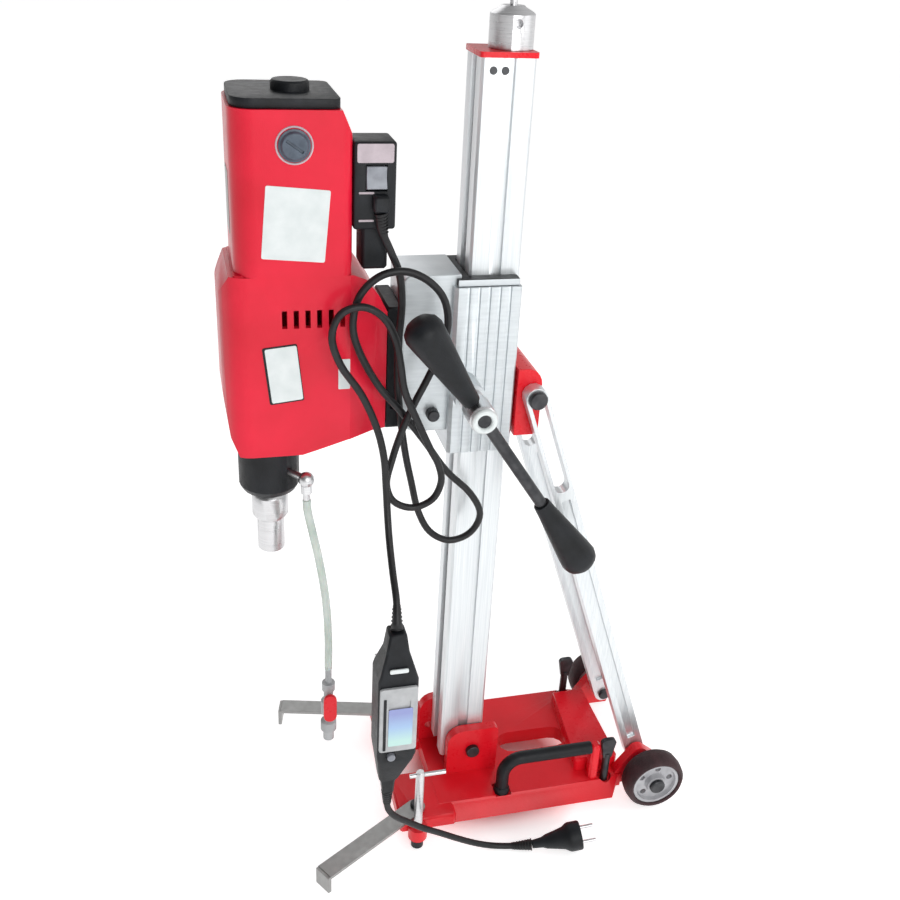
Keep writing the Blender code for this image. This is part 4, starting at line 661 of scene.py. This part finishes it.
plate(
    "side_sticker", vinyl, centre=(-0.226, MOTOR_SIDE, 0.846), wide=0.066, tall=0.076,
    body="carriage", lean=-5,
)
plate(
    "nose_sticker", grey_vinyl, centre=(MOTOR_NOSE, 0.004, 0.858), wide=0.040, tall=0.066,
    body="carriage", facing=(-1, 0, 0),
)
plate(
    "label_frame", nylon, centre=(-0.2420, GEARBOX_SIDE, LABEL_HIGH), wide=0.038, tall=0.068,
    body="carriage", lean=LABEL_LEAN,
)
plate(
    "label_plate", vinyl, centre=(-0.2412, GEARBOX_SIDE - STICKER_THICK, LABEL_HIGH), wide=0.0345,
    tall=0.0645, body="carriage", lean=LABEL_LEAN,
)
plate(
    "small_sticker", vinyl, centre=(-0.1750, GEARBOX_SIDE, 0.676), wide=0.013, tall=0.036,
    body="carriage", corner=0.001,
)

# ---------------------------------------------------------------- joint lip
# A red slab closes the joint where the motor's cover stands on the gearbox, and shows as a lip.
# It has no hole for the armature, which passes through it out of sight.
LIP_FORWARD = 0.001
LIP_WIDER = 0.001
LIP_BELOW_TOP = 0.003
MOTOR_LOW, MOTOR_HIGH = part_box("motor_housing")
GEARBOX_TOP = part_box("gearbox_housing")[1][2]
motor_middle_x = (MOTOR_LOW[0] + MOTOR_HIGH[0]) / 2
plate(
    "joint_lip", shell_red,
    centre=(motor_middle_x - LIP_FORWARD, 0, GEARBOX_TOP - RISE - LIP_BELOW_TOP),
    wide=MOTOR_HIGH[0] - MOTOR_LOW[0] + LIP_WIDER, tall=0.108, body="carriage",
    facing=(0, 0, 1), corner=0.004, thick=0.0042,
)

# ---------------------------------------------------------------- column bolts
# Two blackened bolts hold the cap through the column's near side. They stand out by 0.3 mm, so
# the wiper passes over them.
COLUMN_BOLT_WIDE = 0.0085
COLUMN_BOLTS_BELOW_TOP = 0.0125
COLUMN_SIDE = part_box("column_extrusion")[0][1] - OFF_FACE
COLUMN_BOLTS_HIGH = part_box("column_extrusion")[1][2] - COLUMN_BOLTS_BELOW_TOP - RISE
for bolt, across in enumerate((-0.017, -0.004)):
    plate(
        f"column_bolt_{bolt}", black_steel, centre=(across, COLUMN_SIDE, COLUMN_BOLTS_HIGH),
        wide=COLUMN_BOLT_WIDE, tall=COLUMN_BOLT_WIDE, body="column",
        corner=0.0042, thick=0.0002,
    )

# ---------------------------------------------------------------- dial and switch trim
# The gear dial sits in a pale ring. The switch has a lilac-grey cap over two pale moulded ribs.
# The row of rings made here also ribs the boots and closes the handle's hub.
RING_SIDES = 40
RIB_SIDES = 8


def row_of_rings(
    name, surface, count, step, ring, thick, start, heading, body, last=1.0
):
    """Rings along a line: Geometry Nodes, made a plain mesh and then set in place.

    Their sizes run evenly from the first ring's to last times it, which one ring more would have.
    """
    tree = bpy.data.node_groups.new(name, "GeometryNodeTree")
    sockets = tree.interface
    sockets.new_socket("Geometry", in_out="OUTPUT", socket_type="NodeSocketGeometry")
    wanted = {
        "Count": count, "Step": step, "Ring radius": ring, "Rib radius": thick, "Last scale": last,
    }
    identifiers = {}
    for label in wanted:
        kind = "NodeSocketInt" if label == "Count" else "NodeSocketFloat"
        socket = sockets.new_socket(label, in_out="INPUT", socket_type=kind)
        identifiers[label] = socket.identifier
    inside = tree.nodes.new("NodeGroupInput")
    outside = tree.nodes.new("NodeGroupOutput")
    line = tree.nodes.new("GeometryNodeMeshLine")
    offset = tree.nodes.new("ShaderNodeCombineXYZ")
    ring_curve = tree.nodes.new("GeometryNodeCurvePrimitiveCircle")
    rib_curve = tree.nodes.new("GeometryNodeCurvePrimitiveCircle")
    ring_curve.inputs["Resolution"].default_value = RING_SIDES
    rib_curve.inputs["Resolution"].default_value = RIB_SIDES
    sweep = tree.nodes.new("GeometryNodeCurveToMesh")
    spread = tree.nodes.new("GeometryNodeInstanceOnPoints")
    index = tree.nodes.new("GeometryNodeInputIndex")
    taper = tree.nodes.new("ShaderNodeMapRange")
    taper.inputs["To Min"].default_value = 1.0
    real = tree.nodes.new("GeometryNodeRealizeInstances")
    paint = tree.nodes.new("GeometryNodeSetMaterial")
    paint.inputs["Material"].default_value = surface.material
    link = tree.links.new
    link(inside.outputs["Count"], line.inputs["Count"])
    link(inside.outputs["Step"], offset.inputs["Z"])
    link(offset.outputs["Vector"], line.inputs["Offset"])
    link(inside.outputs["Ring radius"], ring_curve.inputs["Radius"])
    link(inside.outputs["Rib radius"], rib_curve.inputs["Radius"])
    link(ring_curve.outputs["Curve"], sweep.inputs["Curve"])
    link(rib_curve.outputs["Curve"], sweep.inputs["Profile Curve"])
    link(index.outputs["Index"], taper.inputs["Value"])
    link(inside.outputs["Count"], taper.inputs["From Max"])
    link(inside.outputs["Last scale"], taper.inputs["To Max"])
    link(taper.outputs["Result"], spread.inputs["Scale"])
    link(line.outputs["Mesh"], spread.inputs["Points"])
    link(sweep.outputs["Mesh"], spread.inputs["Instance"])
    link(spread.outputs["Instances"], real.inputs["Geometry"])
    link(real.outputs["Geometry"], paint.inputs["Geometry"])
    link(paint.outputs["Geometry"], outside.inputs[0])
    holder = linked(f"{name}_holder", bpy.data.meshes.new(f"{name}_holder"))
    rings = holder.modifiers.new(name, "NODES")
    rings.node_group = tree
    for label, value in wanted.items():
        rings[identifiers[label]] = value
    mesh = evaluated_mesh(holder)
    place = Vector(heading).to_track_quat("Z", "Y").to_matrix().to_4x4()
    place.translation = Vector(start) + Vector((0, 0, RISE))
    mesh.transform(place)
    work = bmesh.new()
    work.from_mesh(mesh)
    bmesh.ops.recalc_face_normals(work, faces=work.faces)
    work.to_mesh(mesh)
    work.free()
    mesh.shade_smooth()
    return add_piece(name, mesh, body)


slate = moulded(
    "slate_acetal", mottle=(80, 5), stops=((0.3, (0.035, 0.05, 0.075)), (0.75, (0.09, 0.12, 0.16))),
    polish=170, grain=900, roughness=0.4,
)
refined("gear_dial", slate, round_edge=0.0004)
pale_grey = moulded(
    "pale_grey_nylon", mottle=(60, 5), stops=((0.3, (0.40, 0.34, 0.37)), (0.7, (0.54, 0.46, 0.50))),
    polish=140, grain=800, roughness=0.4,
)
dial_low, dial_high = (Vector(corner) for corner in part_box("gear_dial"))
dial_middle = (dial_low + dial_high) / 2
row_of_rings(
    "dial_ring", pale_grey, count=1, step=0.001, ring=0.0182, thick=0.0011,
    start=(dial_middle.x, MOTOR_SIDE, dial_middle.z - RISE), heading=(0, -1, 0),
    body="carriage",
)
SWITCH_SIDE = -0.0561
SWITCH_MIDDLE = -0.1434
SWITCH_RIB_MIDDLE = SWITCH_MIDDLE - 0.009
plate(
    "switch_cap", pale_grey, centre=(SWITCH_MIDDLE, SWITCH_SIDE, 0.9175), wide=0.038, tall=0.019,
    body="carriage", thick=0.0012,
)
for rib, rib_height in enumerate((0.8770, 0.8480)):
    plate(
        f"switch_rib_{rib}", pale_grey, centre=(SWITCH_RIB_MIDDLE, SWITCH_SIDE, rib_height),
        wide=0.016, tall=0.0022, body="carriage", corner=0.0008,
        thick=0.0006,
    )

# ---------------------------------------------------------------- breaker trim
# A pale strip lies under the breaker's boot. Its grey cover has a black strip down one side,
# painted shade standing for a groove, and a small tinted window, greener at the foot and bluer at
# the top.
WINDOW_TINT_LOW = 0.236  # heights in the frame
WINDOW_TINT_HIGH = 0.288
STRIP_SUNK = 0.0012
tinted = Surface("tinted_window", roughness=0.15, coat_weight=0.8)
up_the_window = tinted.band(tinted.height(), WINDOW_TINT_LOW, WINDOW_TINT_HIGH)
tinted.tint(
    up_the_window,
    (0.1, (0.46, 0.70, 0.66)), (0.5, (0.32, 0.48, 0.72)), (0.9, (0.24, 0.28, 0.56)),
)
tinted.wear("Roughness", tinted.noise(90) * 0.15 + 0.1)
BREAKER_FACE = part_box("breaker_case")[0][1] - OFF_FACE
COVER_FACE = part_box("breaker_cover")[0][1] - OFF_FACE
plate(
    "boot_strip", vinyl, centre=(-0.131, BREAKER_FACE + STRIP_SUNK, 0.3600), wide=0.022,
    tall=0.0055, body="column", thick=0.0016,
)
plate(
    "cover_window", tinted, centre=(-0.1285, COVER_FACE, 0.2800), wide=0.029, tall=0.056,
    body="column",
)
# Painted shade: a flat black strip on the cover stands for the shadow in its groove.
plate(
    "cover_groove_shade", nylon, centre=(-0.1475, COVER_FACE, 0.2850), wide=0.0035, tall=0.078,
    body="column", corner=0.001,
)

# ---------------------------------------------------------------- ribbed boots
# Rubber strain reliefs taper along the lead where it leaves a case. Ribs let them bend evenly.
# The sleeve follows the lead, and its ribs stand on a straight line from end to end.
BOOT_SIDES = 24
BOOT_RIB_THICK = 0.0008


def boot(name, path, long, wide_end, thin_end, ribs, body):
    """A tapered sleeve along the path's first stretch, with a row of ribs around it."""
    centres = [path[0]]
    gone = 0.0
    for one, two in zip(path, path[1:]):
        gone += (two - one).length
        centres.append(two)
        if gone >= long:
            break
    heading = centres[-1] - centres[0]
    across = heading.cross((0, 1, 0)).normalized()
    over = heading.cross(across).normalized()
    work = bmesh.new()
    rims = []
    for number, centre in enumerate(centres):
        radius = wide_end + (thin_end - wide_end) * number / (len(centres) - 1)
        rim = []
        for step in range(BOOT_SIDES):
            turned = math.radians(360 / BOOT_SIDES * step)
            outward = math.cos(turned) * across + math.sin(turned) * over
            rim.append(work.verts.new(centre + radius * outward))
        rims.append(rim)
    for low, high in zip(rims, rims[1:]):
        for step in range(BOOT_SIDES):
            after = (step + 1) % BOOT_SIDES
            work.faces.new((low[step], low[after], high[after], high[step]))
    for rim in (rims[0], rims[-1]):
        work.faces.new(rim)
    bmesh.ops.recalc_face_normals(work, faces=work.faces)
    mesh = bpy.data.meshes.new(name)
    work.to_mesh(mesh)
    work.free()
    mesh.materials.append(rubber.material)
    mesh.shade_smooth()
    mesh.set_sharp_from_angle(angle=RIMS_SHARP)
    sleeve = add_piece(name, mesh, body)
    row = row_of_rings(
        f"{name}_ribs", rubber, count=ribs, step=heading.length / ribs, ring=wide_end,
        thick=BOOT_RIB_THICK, start=centres[0] - Vector((0, 0, RISE)), heading=heading, body=body,
        last=thin_end / wide_end,
    )
    return [sleeve, row]


mouth = min(range(len(lead_path)), key=lambda k: abs(lead_path[k].z - BREAKER_MOUTH - RISE))
boot(
    "switch_boot", lead_path, long=0.022, wide_end=0.0066, thin_end=0.0048, ribs=7, body="carriage"
)
lead_boot = boot(
    "breaker_boot", lead_path[mouth::-1], long=0.024, wide_end=0.0068, thin_end=0.0046, ribs=6,
    body="column",
)
outlet_boot = boot(
    "outlet_boot", breaker_path, long=0.022, wide_end=0.0066, thin_end=0.0046, ribs=6, body="column"
)
plug_boot = boot(
    "plug_boot", breaker_path[::-1], long=0.026, wide_end=0.0074, thin_end=0.0046, ribs=7,
    body="stand",
)

# ---------------------------------------------------------------- feed handle's hub ring
# A white nylon ring closes the handle's hub, round the dark socket of its screw. Three rings
# drawn close together make it.
hub_low, hub_high = (Vector(corner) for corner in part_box("pinion_shaft"))
hub_middle_x = (hub_low.x + hub_high.x) / 2
hub_middle_z = (hub_low.z + hub_high.z) / 2
HUB_RING_STEP = 0.0006
HUB_SOCKET_OUT = 0.0004
HUB_SOCKET_WIDE = 0.0156
row_of_rings(
    "hub_ring", vinyl, count=3, step=HUB_RING_STEP, ring=0.0112, thick=0.0036,
    start=(hub_middle_x, hub_low.y + HUB_RING_STEP, hub_middle_z - RISE), heading=(0, -1, 0),
    body="pinion",
)
plate(
    "hub_socket", black_steel,
    centre=(hub_middle_x, hub_low.y - HUB_SOCKET_OUT, hub_middle_z - RISE),
    wide=HUB_SOCKET_WIDE, tall=HUB_SOCKET_WIDE, body="pinion",
    corner=0.0077,
)
